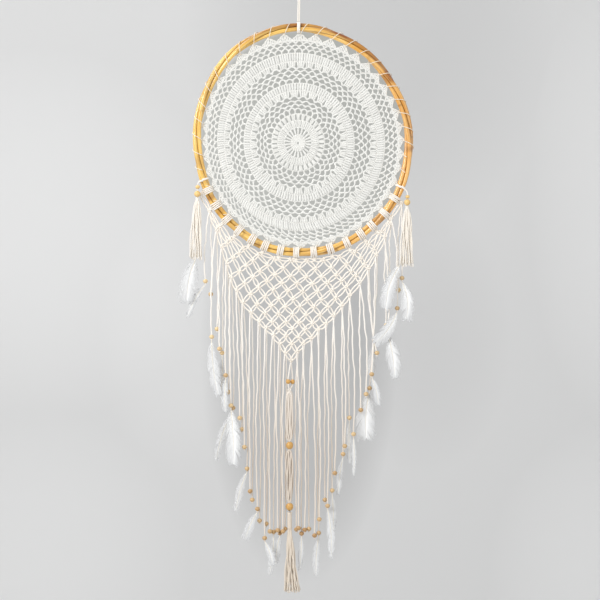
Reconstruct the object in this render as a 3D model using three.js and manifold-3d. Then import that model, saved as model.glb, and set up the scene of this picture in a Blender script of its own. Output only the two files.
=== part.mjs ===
// A dreamcatcher for a wall, about 1.1 m long. A hoop of three rattan canes holds a round
// crocheted doily. Knotted cotton cord hangs from the lower half of the hoop as a pointed
// net, and its loose ends carry wooden beads and white feathers.
// Millimetres, +Z up. The front faces -Y. The origin is the top of the hanging loop.
import * as THREE from "three";
import { mergeVertices } from "three/addons/utils/BufferGeometryUtils.js";
import Module from "manifold-3d";

const wasm = await Module();
wasm.setup();

const CLEARANCE = 0.3;

// Hoop: a bundle of three canes, a little taller than wide
const HOOP = { x: 9, z: -305.5, halfWidth: 202, halfHeight: 214.5 };
// How far the bent canes stand outside that ellipse: an even part, and waves round the hoop
const HOOP_BOW = { even: 1.8, sines: [-3, -2.3, -1.8], cosines: [0, 0, 0.75] };
const OUTWARD_STEP = 0.5;
const CANE_RADIUS = 3.7;
const CANE_OFFSET = 4.6;
const CANE_TWISTS = 3;
const CANE_SIDES = 6;
const CANE_STEPS = 45;
const BUNDLE_RADIUS = CANE_OFFSET + CANE_RADIUS;
// How far a straight step of a cane cuts inside the true curve
const CANE_CHORD = 0.52;

// Doily: rounds are placed by their share of the way from the centre to the tips
const DOILY_CENTRE = { x: -1, z: -310.5 };
const DOILY_THICKNESS = 1.8;
const DOILY_TIP_INSET = 11.5;
const DOILY_POINTS = 42;
const DOILY_VALLEY = 0.95;
const DOILY_EYE = 0.028;
const DOILY_ROUNDS = [
  { at: 0.302, gaps: 17, halfHeight: 0.03, share: 0.64 },
  { at: 0.382, gaps: 17, halfHeight: 0.03, share: 0.64 },
  { at: 0.585, gaps: 27, halfHeight: 0.03, share: 0.64 },
  { at: 0.665, gaps: 27, halfHeight: 0.03, share: 0.64 },
  { at: 0.864, gaps: 42, halfHeight: 0.019, share: 0.6 },
  { at: 0.912, gaps: 42, halfHeight: 0.019, share: 0.6 },
];

// Lacing: one turn of thread round the bundle for each doily point
const LACING_RADIUS = 0.6;
const LACING_REACH = 10.5;
const LACING_STEPS_PER_TURN = 7;
const LACING_LEFT = { from: -101.2, to: -5.2 };
const LACING_RIGHT = { from: -0.4, to: 104.5 };

// Wraps: flat eight-sided bands of cord round the bundle
const BAND_SIDES = 8;
const BAND_INNER = (BUNDLE_RADIUS + CLEARANCE + CANE_CHORD) / Math.cos(Math.PI / BAND_SIDES);
const BAND_OUTER = BAND_INNER + 2;

// Hanger: a doubled cord that is looped above a small wrapped collar
const CORD_RADIUS = 1.25;
const CORD_SIDES = 8;
const CORD_STEPS = 30;
const HANGER_TURN = -2.8;
const HANGER_BAND_WIDTH = 7.4;
const COLLAR = { drop: 26, height: 9, radius: 5.2, hole: 3.35 };
const CORD_ROUTE = [
  [-2.45, -76.1], [-2.25, -70], [-2, -60], [-1.7, -48], [-1.45, -36], [-1.45, -27],
  [-2.1, -20], [-4.3, -14.5], [-5.6, -8.8], [-4.3, -3.6], [0, -1.25], [4.3, -3.6],
  [5.6, -8.8], [4.3, -14.5], [2.1, -20], [1.45, -27], [1.45, -36], [1.3, -48],
  [1, -60], [0.7, -70], [0.45, -76.1],
];

// Net: eight heads on the hoop, and knots in rows of seven down to one
const HEADS = 8;
const HEAD_FIRST_TURN = 245.7;
const HEAD_LAST_TURN = 119.4;
const HEAD_WIDTH = 11;
const HEAD_REACH = 15.4;
const HEAD_KNOT_HALF_DIAGONAL = 6;
const NET_SAG = 112;
const NET_SAG_ROWS = 4.6;
const NET_SAG_CURVE = 2.5;
const NET_SPREAD_ROWS = 3;
const PAIR_WIDTH = 5;
const PAIR_THICKNESS = 2.9;
const STRAND_RADIUS = 1.3;
const STRAND_SIDES = 3;
const KNOT_HALF_DIAGONAL = 7.6;
const KNOT_WALL = 3.4;
const KNOT_BEVEL = 1.7;
// One row for each row of knots below the heads, with both ends of the row
const NET_EDGES = [
  { left: [-158, -477], right: [166, -490] },
  { left: [-139, -541], right: [134, -551] },
  { left: [-120, -593], right: [98, -603] },
  { left: [-92, -635], right: [67, -641] },
  { left: [-64, -666], right: [37, -669] },
  { left: [-37, -696], right: [9, -696] },
  { left: [-15, -729], right: [-15, -729] },
];

// Fringe: two strands from each place on the net's edges, one in front and one behind.
// Each row gives the bead on each strand; row counts half steps down the edge.
const FRINGE_DEPTH = 3.4;
const STRAND_STEPS = 4;
const STRAND_TAIL = 5.6;
const STRAND_SWAY = 1.2;
// Shares of a strand's length: where it has reached its layer, and where it hangs straight
const STRAND_SETTLED = 0.07;
const STRAND_STRAIGHT = 0.94;
const ROOT_ASIDE = 1.45;
const LEFT_FRINGE = [
  { row: 1, front: [-180, -576], back: [-170, -601] },
  { row: 2, front: [-168, -683], back: [-158, -668] },
  { row: 3, front: [-153, -706], back: [-148, -714] },
  { row: 4, front: [-141, -757], back: [-136, -789] },
  { row: 5, front: [-131, -815], back: [-127, -820] },
  { row: 6, front: [-114, -839], back: [-110, -861] },
  { row: 7, front: [-105, -895], back: [-100, -937] },
  { row: 8, front: [-94, -980], back: [-90, -997] },
  { row: 9, front: [-80, -1014], back: [-76, -1037] },
  { row: 10, front: [-66, -1070], back: [-63, -1043] },
  { row: 11, front: [-56, -1057], back: [-49, -1059] },
  { row: 12, front: [-41, -1055], back: [-37, -1061] },
  { row: 13, front: [-31, -1057], back: [-27, -1053] },
];
const RIGHT_FRINGE = [
  { row: 0, front: [198, -570], back: [192, -593] },
  { row: 1, front: [189, -628], back: [181, -616] },
  { row: 2, front: [171, -672], back: [165, -647] },
  { row: 3, front: [150, -714], back: [145, -691] },
  { row: 4, front: [140, -755], back: [136, -782] },
  { row: 5, front: [129, -793], back: [119, -824] },
  { row: 6, front: [105, -870], back: [97, -839] },
  { row: 7, front: [88, -893], back: [85, -909] },
  { row: 8, front: [69, -945], back: [64, -979] },
  { row: 9, front: [55, -1008], back: [50, -997] },
  { row: 10, front: [39, -1034], back: [38, -1061] },
  { row: 11, front: [30, -1065], back: [19, -1053] },
  { row: 12, front: [11, -1054], back: [5, -1062] },
  { row: 13, front: [-1, -1051], back: [-5, -1054] },
];

// Centre strands: two cords through a pair of beads, four below them
const TIP = { x: -15, z: -729 };
const PAIR_BEADS = [
  { name: "centre_bead_left", x: -20.8, y: -3, z: -769 },
  { name: "centre_bead_right", x: -12.4, y: 3, z: -769.6 },
];
const GATHER = { x: -18.5, z: -786 };
const CENTRE_BEADS = [
  { name: "centre_bead_middle", x: -18, z: -892 },
  { name: "centre_bead_low", x: -18, z: -1010 },
];
const PAIR_FORK_Z = -748;
const PAIR_STEPS = 8;
const CENTRE_NEAR = 1.1;
const CENTRE_SPREAD = 7;
const CENTRE_STRANDS = 4;
const CENTRE_STEPS = 13;
const CENTRE_BEAD_REACH = 9;
// The bulges of the centre strands, above and below the middle bead
const CENTRE_BULGES = [-800, -845, -925, -960];
const CENTRE_TASSEL = {
  x: -18, top: -1020, neck: -1052, bottom: -1173, lean: 4, spread: 13, radius: 4.8, ridges: 3,
};

// Beads
const SMALL_BEAD = { radius: 4.7, height: 8, hole: 2.1, sides: 7 };
const PAIR_BEAD = { radius: 4.3, height: 8.6, hole: 2.2, sides: 8 };
const CENTRE_BEAD = { radius: 6.9, height: 13.5, hole: 3.4, sides: 8 };

// Side tassels, each on a thread round the hoop with two beads
const TASSEL_THREAD = 1.2;
const TASSEL_BAND_WIDTH = 3.4;
const TASSEL_DEPTH = -10.5;
const TASSEL_BAND_SWING = -1.35;
const TASSEL_THREAD_STEPS = 8;
const TASSEL_BEAD = { hole: 2.1, sides: 8 };
const TASSEL_HEAD = { height: 14, radius: 4.6, ridges: 1 };
const TASSEL_HEAD_SIDES = 7;
const TASSEL_GROOVE = 0.84;
const TASSEL_FLARE = 6.8;
const TASSEL_LOCKS = 10;
const LOCK_RADIUS = 1.25;
const LOCK_SPACING = 2.55;
const LOCK_UNEVEN = 4;
const LOCK_DEPTHS = [1.7, 2.6, 3, 3.2];
const LOCK_SHARES = [0, 0.3, 0.65, 1];
const TASSELS = [
  {
    side: "left", turn: 249.6, bottom: -532, across: [-209, -189],
    beads: [
      { name: "small", x: -194.4, z: -395.2, radius: 4.5, height: 7 },
      { name: "large", x: -195.2, z: -408.5, radius: 6.1, height: 11.6 },
    ],
  },
  {
    side: "right", turn: 114.2, bottom: -545, across: [193, 220],
    beads: [
      { name: "small", x: 208.4, z: -414, radius: 4.1, height: 6.4 },
      { name: "large", x: 207.7, z: -424.6, radius: 5.7, height: 10.4 },
    ],
  },
];

// Feathers: each hangs from the end of a fringe strand, or from a tassel
const FEATHER_THICKNESS = 1.3;
const FEATHER_RINGS = 6;
const QUILL_SHARE = 0.1;
const QUILL_RADIUS = 0.8;
const FEATHER_GAP = 0.4;
const FEATHER_SWING = 9;
const TASSEL_FEATHER_SWING = 3;
const FEATHERS = [
  { from: "left", row: 1, layer: "front", across: -33, length: 62, width: 12, bend: -4 },
  { from: "left", row: 2, layer: "front", across: 13, length: 106, width: 13, bend: -3 },
  { from: "left", row: 3, layer: "back", across: -4, length: 75, width: 10, bend: 2 },
  { from: "left", row: 4, layer: "front", across: 0, length: 64, width: 12, bend: -2 },
  { from: "left", row: 5, layer: "front", across: 6, length: 108, width: 21, bend: 2 },
  { from: "left", row: 5, layer: "back", across: -33, length: 96, width: 12, bend: -5 },
  { from: "left", row: 7, layer: "back", across: -22, length: 76, width: 13, bend: -3 },
  { from: "left", row: 9, layer: "front", across: -23, length: 50, width: 15, bend: -2 },
  { from: "left", row: 10, layer: "front", across: 16, length: 43, width: 12, bend: 2 },
  { from: "left", row: 11, layer: "back", across: -8, length: 76, width: 12, bend: 2 },
  { from: "left", row: 12, layer: "back", across: -8, length: 56, width: 13, bend: -2 },
  { from: "right", row: 0, layer: "front", across: 8, length: 73, width: 23, bend: 7 },
  { from: "right", row: 1, layer: "front", across: -43, length: 62, width: 19, bend: 5 },
  { from: "right", row: 2, layer: "front", across: 11, length: 72, width: 21, bend: 2 },
  { from: "right", row: 3, layer: "back", across: -10, length: 60, width: 15, bend: 2 },
  { from: "right", row: 4, layer: "front", across: 13, length: 48, width: 12, bend: 2 },
  { from: "right", row: 4, layer: "back", across: -6, length: 90, width: 27, bend: -4 },
  { from: "right", row: 6, layer: "front", across: 0, length: 74, width: 8, bend: 1 },
  { from: "right", row: 6, layer: "back", across: 1, length: 82, width: 10, bend: -1 },
  { from: "right", row: 7, layer: "back", across: -9, length: 73, width: 10, bend: -2 },
  { from: "right", row: 8, layer: "back", across: 1, length: 102, width: 10, bend: 2 },
  { from: "right", row: 9, layer: "front", across: 7, length: 92, width: 13, bend: 3 },
  { from: "right", row: 10, layer: "back", across: -5, length: 77, width: 12, bend: -2 },
  { from: "right", row: 12, layer: "back", across: -4, length: 65, width: 8, bend: 1 },
];
const TASSEL_FEATHERS = [
  { side: "left", lock: 5, across: -17, length: 80, width: 15, bend: -4 },
  { side: "right", lock: 0, across: -27, length: 85, width: 25, bend: -7 },
];
// Fringe beads that are pieces of their own
const FRINGE_BEADS = [
  { from: "left", row: 1, layer: "front" },
  { from: "left", row: 1, layer: "back" },
  { from: "left", row: 2, layer: "front" },
  { from: "left", row: 4, layer: "back" },
  { from: "left", row: 5, layer: "back" },
  { from: "left", row: 6, layer: "back" },
  { from: "right", row: 0, layer: "front" },
  { from: "right", row: 0, layer: "back" },
  { from: "right", row: 1, layer: "front" },
  { from: "right", row: 3, layer: "back" },
  { from: "right", row: 4, layer: "back" },
  { from: "right", row: 5, layer: "back" },
];

// Materials
function finish(color, roughness) {
  return new THREE.MeshStandardMaterial({ color, roughness, metalness: 0 });
}
const RATTAN = finish(0xe0a040, 0.35);
const DOILY_COTTON = finish(0xf3f1ea, 0.9);
const THREAD = finish(0xf5ecdc, 0.8);
const CORD_COTTON = finish(0xf3ebdf, 0.9);
const WOOD = finish(0xe0ae68, 0.5);
const WOOD_GOLD = finish(0xc98a34, 0.4);
const FEATHER_WHITE = finish(0xf6f6f4, 0.7);

const part = new THREE.Group();

// Vertices are merged, flat leftovers dropped, and faces turned outwards.
function closedSurface(geometry) {
  const bare = geometry.clone();
  bare.deleteAttribute("normal");
  bare.deleteAttribute("uv");
  const merged = mergeVertices(bare, 1e-4);
  const places = merged.attributes.position;
  const index = [];
  const [a, b, c] = [new THREE.Vector3(), new THREE.Vector3(), new THREE.Vector3()];
  let volume = 0;
  for (let k = 0; k < merged.index.count; k += 3) {
    const [i, j, l] = [0, 1, 2].map((step) => merged.index.getX(k + step));
    if (i === j || j === l || l === i) {
      continue;
    }
    index.push(i, j, l);
    a.fromBufferAttribute(places, i);
    b.fromBufferAttribute(places, j);
    c.fromBufferAttribute(places, l);
    volume += a.dot(b.cross(c)) / 6;
  }
  if (volume < 0) {
    index.reverse();
  }
  const surface = new THREE.BufferGeometry();
  surface.setAttribute("position", places);
  surface.setIndex(index);
  return surface;
}

function toSolid(geometry) {
  const surface = closedSurface(geometry);
  const vertProperties = new Float32Array(surface.attributes.position.array);
  const triVerts = new Uint32Array(surface.index.array);
  return new wasm.Manifold(new wasm.Mesh({ numProp: 3, vertProperties, triVerts }));
}

function fromSolid(solid) {
  const mesh = solid.getMesh();
  const surface = new THREE.BufferGeometry();
  surface.setAttribute("position", new THREE.BufferAttribute(mesh.vertProperties, 3));
  surface.setIndex(new THREE.BufferAttribute(mesh.triVerts, 1));
  return surface;
}

function joined(geometries) {
  const [first, ...others] = geometries.map(toSolid);
  return fromSolid(others.reduce((sum, solid) => sum.add(solid), first));
}

function cut(body, tool) {
  return fromSolid(toSolid(body).subtract(toSolid(tool)));
}

function addPiece(name, geometry, material) {
  const mesh = new THREE.Mesh(closedSurface(geometry), material);
  mesh.name = name;
  part.add(mesh);
  return mesh;
}

function polygonShape(radius, sides) {
  const corners = [];
  for (let k = 0; k < sides; k += 1) {
    const angle = (2 * Math.PI * k) / sides;
    corners.push(new THREE.Vector2(radius * Math.cos(angle), radius * Math.sin(angle)));
  }
  return new THREE.Shape(corners);
}

function cordAlong(curve, radius, sides, steps) {
  const section = polygonShape(radius, sides);
  return new THREE.ExtrudeGeometry(section, { steps, extrudePath: curve, bevelEnabled: false });
}

function curveThrough(points) {
  return new THREE.CatmullRomCurve3(points, false, "catmullrom", 0.5);
}

// A ring turned from a closed profile of radius and height
function turnedRing(profile, sides) {
  const points = [...profile, profile[0]].map(([radius, height]) => new THREE.Vector2(radius, height));
  return new THREE.LatheGeometry(points, sides);
}

// Hoop places: turns are degrees clockwise from the top, seen from the front
function hoopBow(turn) {
  const angle = THREE.MathUtils.degToRad(turn);
  const waves = HOOP_BOW.sines.map((sine, k) => (
    sine * Math.sin((k + 1) * angle) + HOOP_BOW.cosines[k] * Math.cos((k + 1) * angle)));
  const bow = waves.reduce((sum, wave) => sum + wave, HOOP_BOW.even);
  return new THREE.Vector3(
    HOOP.halfHeight * Math.sin(angle), 0, HOOP.halfWidth * Math.cos(angle)).setLength(bow);
}

function hoopCentre(turn) {
  const angle = THREE.MathUtils.degToRad(turn);
  return new THREE.Vector3(
    HOOP.x + HOOP.halfWidth * Math.sin(angle), 0, HOOP.z + HOOP.halfHeight * Math.cos(angle),
  ).add(hoopBow(turn));
}

function hoopOutward(turn) {
  const way = hoopCentre(turn + OUTWARD_STEP).sub(hoopCentre(turn - OUTWARD_STEP));
  return new THREE.Vector3(-way.z, 0, way.x).normalize();
}

// A place at a reach from the bundle's centre, swung round it from the outer side
function aroundHoop(turn, reach, swing) {
  return hoopCentre(turn)
    .addScaledVector(hoopOutward(turn), reach * Math.cos(swing))
    .add(new THREE.Vector3(0, reach * Math.sin(swing), 0));
}

class CaneCurve extends THREE.Curve {
  constructor(phase) {
    super();
    this.phase = phase;
  }

  getPoint(share) {
    const swing = this.phase + 2 * Math.PI * CANE_TWISTS * share;
    return aroundHoop(360 * share, CANE_OFFSET, swing);
  }
}

class LacingCurve extends THREE.Curve {
  constructor(from, to) {
    super();
    this.from = from;
    this.to = to;
  }

  getPoint(share) {
    const turn = this.from + (this.to - this.from) * share;
    const swing = Math.PI + (turn / 360) * DOILY_POINTS * 2 * Math.PI;
    return aroundHoop(turn, LACING_REACH, swing);
  }
}

function addHoop() {
  ["a", "b", "c"].forEach((letter, k) => {
    const curve = new CaneCurve((2 * Math.PI * k) / 3);
    const cane = new THREE.TubeGeometry(curve, CANE_STEPS, CANE_RADIUS, CANE_SIDES, true);
    addPiece(`cane_${letter}`, cane, RATTAN);
  });
}

// A place on the doily: share of the way out, and turn in degrees from the top
function doilyPoint(share, turn) {
  const angle = THREE.MathUtils.degToRad(turn);
  const acrossHalf = (HOOP.halfWidth - DOILY_TIP_INSET) * share;
  const upHalf = (HOOP.halfHeight - DOILY_TIP_INSET) * share;
  const bow = hoopBow(turn).multiplyScalar(share);
  return new THREE.Vector2(
    THREE.MathUtils.lerp(DOILY_CENTRE.x, HOOP.x, share) + acrossHalf * Math.sin(angle) + bow.x,
    THREE.MathUtils.lerp(DOILY_CENTRE.z, HOOP.z, share) + upHalf * Math.cos(angle) + bow.z);
}

function doilySheet(outlines, thickness) {
  const shapes = outlines.map((outline) => new THREE.Shape(outline));
  const sheet = new THREE.ExtrudeGeometry(shapes, { depth: thickness, bevelEnabled: false });
  sheet.translate(0, 0, -thickness / 2);
  sheet.rotateX(Math.PI / 2);
  return sheet;
}

function addDoily() {
  const pitch = 360 / DOILY_POINTS;
  const rim = [];
  for (let k = 0; k < DOILY_POINTS; k += 1) {
    rim.push(doilyPoint(1, k * pitch), doilyPoint(DOILY_VALLEY, (k + 0.5) * pitch));
  }
  const gapOutlines = [[0, 60, 120, 180, 240, 300].map((turn) => doilyPoint(DOILY_EYE, turn))];
  DOILY_ROUNDS.forEach(({ at, gaps, halfHeight, share }, round) => {
    for (let k = 0; k < gaps; k += 1) {
      const turn = ((k + (round % 2) / 2) * 360) / gaps;
      const halfTurn = (share * 180) / gaps;
      gapOutlines.push([
        doilyPoint(at + halfHeight, turn),
        doilyPoint(at, turn + halfTurn),
        doilyPoint(at - halfHeight, turn),
        doilyPoint(at, turn - halfTurn),
      ]);
    }
  });
  const cloth = doilySheet([rim], DOILY_THICKNESS);
  const gaps = doilySheet(gapOutlines, 3 * DOILY_THICKNESS);
  addPiece("doily", cut(cloth, gaps), DOILY_COTTON);
}

function addLacing() {
  [["left", LACING_LEFT], ["right", LACING_RIGHT]].forEach(([side, { from, to }]) => {
    const turns = ((to - from) / 360) * DOILY_POINTS;
    const steps = Math.round(turns * LACING_STEPS_PER_TURN);
    const thread = cordAlong(new LacingCurve(from, to), LACING_RADIUS, STRAND_SIDES, steps);
    addPiece(`lacing_${side}`, thread, THREAD);
  });
}

// A band of cord round the bundle, with slanting edges
function hoopBand(turn, width) {
  const half = width / 2;
  const band = turnedRing([
    [BAND_INNER, -half], [BAND_OUTER, -half * 0.75], [BAND_OUTER, half * 0.75], [BAND_INNER, half],
  ], BAND_SIDES);
  band.rotateY(Math.PI / BAND_SIDES);
  const outward = hoopOutward(turn);
  const along = new THREE.Vector3(0, 1, 0).cross(outward).normalize();
  const facing = new THREE.Matrix4().makeBasis(outward, along, new THREE.Vector3(0, 1, 0).negate());
  band.applyMatrix4(facing);
  const centre = hoopCentre(turn);
  band.translate(centre.x, centre.y, centre.z);
  return band;
}

function addHanger() {
  addPiece("hanging_wrap", hoopBand(HANGER_TURN, HANGER_BAND_WIDTH), CORD_COTTON);
  const route = CORD_ROUTE.map(([x, z]) => new THREE.Vector3(x, 0, z));
  const cord = cordAlong(curveThrough(route), CORD_RADIUS, CORD_SIDES, CORD_STEPS);
  addPiece("hanging_cord", cord, CORD_COTTON);
  const { drop, height, radius, hole } = COLLAR;
  const collar = turnedRing([
    [hole, -height / 2], [radius * 0.8, -height / 2], [radius, -height / 4], [radius * 0.85, 0],
    [radius, height / 4], [radius * 0.8, height / 2], [hole, height / 2],
  ], CORD_SIDES);
  collar.rotateX(Math.PI / 2);
  collar.translate(0, 0, -drop);
  addPiece("hanging_knot", collar, CORD_COTTON);
}

// A knot is a raised lozenge with bevelled edges, in front and behind
function knotAt(place, halfDiagonal) {
  const corner = halfDiagonal - KNOT_BEVEL;
  const outline = polygonShape(corner, 4);
  const knot = new THREE.ExtrudeGeometry(outline, {
    depth: KNOT_WALL, bevelEnabled: true, bevelThickness: KNOT_BEVEL, bevelSize: KNOT_BEVEL,
    bevelSegments: 1,
  });
  knot.translate(0, 0, -KNOT_WALL / 2);
  knot.rotateX(Math.PI / 2);
  knot.translate(place.x, place.y, place.z);
  return knot;
}

function headTurn(index) {
  return THREE.MathUtils.lerp(HEAD_FIRST_TURN, HEAD_LAST_TURN, index / (HEADS - 1));
}

// The place of a knot: row 0 is on the hoop, and each row has one knot fewer
function netPoint(row, index) {
  if (row === 0) {
    return aroundHoop(headTurn(index), HEAD_REACH, 0);
  }
  const { left, right } = NET_EDGES[row - 1];
  const last = HEADS - 1 - row;
  const even = last === 0 ? 0 : index / last;
  const sine = (share) => Math.sin(THREE.MathUtils.degToRad(
    THREE.MathUtils.lerp(HEAD_FIRST_TURN, HEAD_LAST_TURN, share)));
  const arched = (sine(even) - sine(0)) / (sine(1) - sine(0));
  const spread = THREE.MathUtils.lerp(arched, even, Math.min(1, row / NET_SPREAD_ROWS));
  const sag = NET_SAG * Math.max(0, 1 - row / NET_SAG_ROWS) ** 2;
  const chord = THREE.MathUtils.lerp(left[1], right[1], even);
  const z = chord - sag * (1 - Math.abs(2 * even - 1) ** NET_SAG_CURVE);
  return new THREE.Vector3(THREE.MathUtils.lerp(left[0], right[0], spread), 0, z);
}

// The knots that one pair of strands passes, to the right of its head or to the left
function pairKnots(head, side) {
  const rows = side === "right" ? HEADS - 1 - head : head;
  const knots = [];
  for (let row = 0; row <= rows; row += 1) {
    knots.push(netPoint(row, side === "right" ? head : head - row));
  }
  return knots;
}

// Two strands side by side make one flat strip, which keeps its face to the front
function pairStrip(knots) {
  const halfWide = PAIR_WIDTH / 2;
  const halfThick = PAIR_THICKNESS / 2;
  const section = new THREE.Shape([
    new THREE.Vector2(-halfThick, -halfWide), new THREE.Vector2(halfThick, -halfWide),
    new THREE.Vector2(halfThick, halfWide), new THREE.Vector2(-halfThick, halfWide),
  ]);
  return new THREE.ExtrudeGeometry(section, {
    steps: 2 * (knots.length - 1), extrudePath: curveThrough(knots), bevelEnabled: false,
  });
}

function layerDepth(layer) {
  return layer === "front" ? -FRINGE_DEPTH : FRINGE_DEPTH;
}

// One loose strand, from its knot past its bead to its end
function looseStrand(root, bead, layer) {
  const depth = layerDepth(layer);
  const aside = layer === "front" ? -ROOT_ASIDE : ROOT_ASIDE;
  const top = new THREE.Vector3(root.x + aside, root.y, root.z);
  const end = bead[1] - STRAND_TAIL;
  const shares = [0, STRAND_SETTLED, 0.3, 0.65, STRAND_STRAIGHT, 1];
  const sway = layer === "front" ? -STRAND_SWAY : STRAND_SWAY;
  const points = shares.map((share) => {
    const settled = Math.min(1, share / STRAND_SETTLED);
    const hung = Math.min(1, share / STRAND_STRAIGHT);
    const wave = hung < 1 ? sway * Math.sin(3 * Math.PI * share) : 0;
    const x = THREE.MathUtils.lerp(top.x, bead[0], hung) + wave;
    return new THREE.Vector3(x, depth * settled, THREE.MathUtils.lerp(top.z, end, share));
  });
  return cordAlong(curveThrough(points), STRAND_RADIUS, STRAND_SIDES, STRAND_STEPS);
}

function fringeOf(side) {
  const rows = side === "left" ? LEFT_FRINGE : RIGHT_FRINGE;
  const knots = side === "left" ? pairKnots(0, "right") : pairKnots(HEADS - 1, "left");
  const edge = curveThrough(knots);
  return rows.flatMap(({ row, front, back }) => {
    const top = edge.getPoint(row / (2 * (HEADS - 1)));
    return [looseStrand(top, front, "front"), looseStrand(top, back, "back")];
  });
}

// The strands below the net's tip: two cords, a gathering knot, then four cords
function centreStrands() {
  const pieces = [];
  PAIR_BEADS.forEach((bead) => {
    const halfBead = PAIR_BEAD.height / 2 + 1;
    const points = [
      new THREE.Vector3(TIP.x, 0, TIP.z),
      new THREE.Vector3(THREE.MathUtils.lerp(TIP.x, bead.x, 0.6), bead.y * 0.7, PAIR_FORK_Z),
      new THREE.Vector3(bead.x, bead.y, bead.z + halfBead),
      new THREE.Vector3(bead.x, bead.y, bead.z - halfBead),
      new THREE.Vector3(GATHER.x, 0, GATHER.z - 2),
    ];
    pieces.push(cordAlong(curveThrough(points), STRAND_RADIUS, STRAND_SIDES, PAIR_STEPS));
  });
  pieces.push(knotAt(new THREE.Vector3(GATHER.x, 0, GATHER.z), KNOT_HALF_DIAGONAL));
  const [middle, low] = CENTRE_BEADS;
  const [first, second, third, fourth] = CENTRE_BULGES;
  for (let k = 0; k < CENTRE_STRANDS; k += 1) {
    const angle = (2 * Math.PI * (k + 0.5)) / CENTRE_STRANDS;
    const spot = (z, spread) => new THREE.Vector3(
      GATHER.x + spread * Math.cos(angle), 0.5 * spread * Math.sin(angle), z);
    const points = [
      spot(GATHER.z, CENTRE_NEAR),
      spot(first, CENTRE_SPREAD * 0.8),
      spot(second, CENTRE_SPREAD),
      spot(middle.z + CENTRE_BEAD_REACH, CENTRE_NEAR),
      spot(middle.z - CENTRE_BEAD_REACH, CENTRE_NEAR),
      spot(third, CENTRE_SPREAD * 0.8),
      spot(fourth, CENTRE_SPREAD),
      spot(low.z + CENTRE_BEAD_REACH, CENTRE_NEAR),
      spot(CENTRE_TASSEL.top + CLEARANCE, CENTRE_NEAR),
    ];
    pieces.push(cordAlong(curveThrough(points), STRAND_RADIUS, STRAND_SIDES, CENTRE_STEPS));
  }
  return pieces;
}

function addMacrame() {
  const pieces = [];
  for (let head = 0; head < HEADS; head += 1) {
    pieces.push(hoopBand(headTurn(head), HEAD_WIDTH));
    pieces.push(knotAt(aroundHoop(headTurn(head), HEAD_REACH, 0), HEAD_KNOT_HALF_DIAGONAL));
    if (head < HEADS - 1) {
      pieces.push(pairStrip(pairKnots(head, "right")));
    }
    if (head > 0) {
      pieces.push(pairStrip(pairKnots(head, "left")));
    }
  }
  for (let row = 1; row < HEADS; row += 1) {
    for (let index = 0; index < HEADS - row; index += 1) {
      pieces.push(knotAt(netPoint(row, index), KNOT_HALF_DIAGONAL));
    }
  }
  pieces.push(...fringeOf("left"), ...fringeOf("right"), ...centreStrands());
  addPiece("macrame", joined(pieces), CORD_COTTON);
}

// A barrel bead with a bore along Z
function beadAt({ x, y = 0, z, radius, height, hole, sides }) {
  const half = height / 2;
  const bead = turnedRing([
    [hole, -half], [radius, -half * 0.4], [radius, half * 0.4], [hole, half],
  ], sides);
  bead.rotateX(Math.PI / 2);
  bead.translate(x, y, z);
  return bead;
}

function beadPlace({ from, row, layer }) {
  const rows = from === "left" ? LEFT_FRINGE : RIGHT_FRINGE;
  const [x, z] = rows.find((entry) => entry.row === row)[layer];
  return new THREE.Vector3(x, layerDepth(layer), z);
}

function addBeads() {
  FRINGE_BEADS.forEach((entry) => {
    const { x, y, z } = beadPlace(entry);
    const name = `bead_${entry.from}_${entry.row}_${entry.layer}`;
    addPiece(name, beadAt({ ...SMALL_BEAD, x, y, z }), WOOD);
  });
  PAIR_BEADS.forEach(({ name, x, y, z }) => {
    addPiece(name, beadAt({ ...PAIR_BEAD, x, y, z }), WOOD_GOLD);
  });
  CENTRE_BEADS.forEach(({ name, x, z }) => {
    addPiece(name, beadAt({ ...CENTRE_BEAD, x, y: 0, z }), WOOD_GOLD);
  });
}

// Where a lock ends: the locks are in two rows, spread evenly across
function lockEnd(k, { bottom, across, depth }) {
  const place = Math.floor(k / 2);
  const row = k % 2 === 0 ? -1 : 1;
  const share = (place + 0.25 * (1 + row)) / (TASSEL_LOCKS / 2 - 0.5);
  return new THREE.Vector3(
    THREE.MathUtils.lerp(across[0], across[1], share),
    depth + row * LOCK_DEPTHS.at(-1),
    bottom + LOCK_UNEVEN * Math.sin(2.7 * k));
}

// Locks from a tassel's neck, spread a little in depth as they fall
function tasselLocks({ neck, bottom, across }) {
  const pieces = [];
  for (let k = 0; k < TASSEL_LOCKS; k += 1) {
    const root = neck.x + (Math.floor(k / 2) - (TASSEL_LOCKS / 2 - 1) / 2) * LOCK_SPACING;
    const end = lockEnd(k, { bottom, across, depth: neck.y });
    const row = Math.sign(end.y - neck.y);
    const points = LOCK_SHARES.map((down, step) => new THREE.Vector3(
      THREE.MathUtils.lerp(root, end.x, down ** 0.6),
      neck.y + row * LOCK_DEPTHS[step],
      THREE.MathUtils.lerp(neck.z, end.z, down)));
    pieces.push(cordAlong(curveThrough(points), LOCK_RADIUS, STRAND_SIDES, 3));
  }
  return pieces;
}

// A wound tassel head with ridges, flared at its flat lower end
function tasselHead({ x, y, top, bottom, radius, ridges }) {
  const profile = [new THREE.Vector2(0, bottom), new THREE.Vector2(TASSEL_FLARE, bottom)];
  const height = top - bottom;
  for (let k = 1; k <= 2 * ridges; k += 1) {
    const level = bottom + (height * k) / (2 * ridges + 1);
    profile.push(new THREE.Vector2(k % 2 === 0 ? radius : radius * TASSEL_GROOVE, level));
  }
  profile.push(new THREE.Vector2(0, top));
  const head = new THREE.LatheGeometry(profile, TASSEL_HEAD_SIDES);
  head.rotateX(Math.PI / 2);
  head.translate(x, y, 0);
  return head;
}

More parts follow.
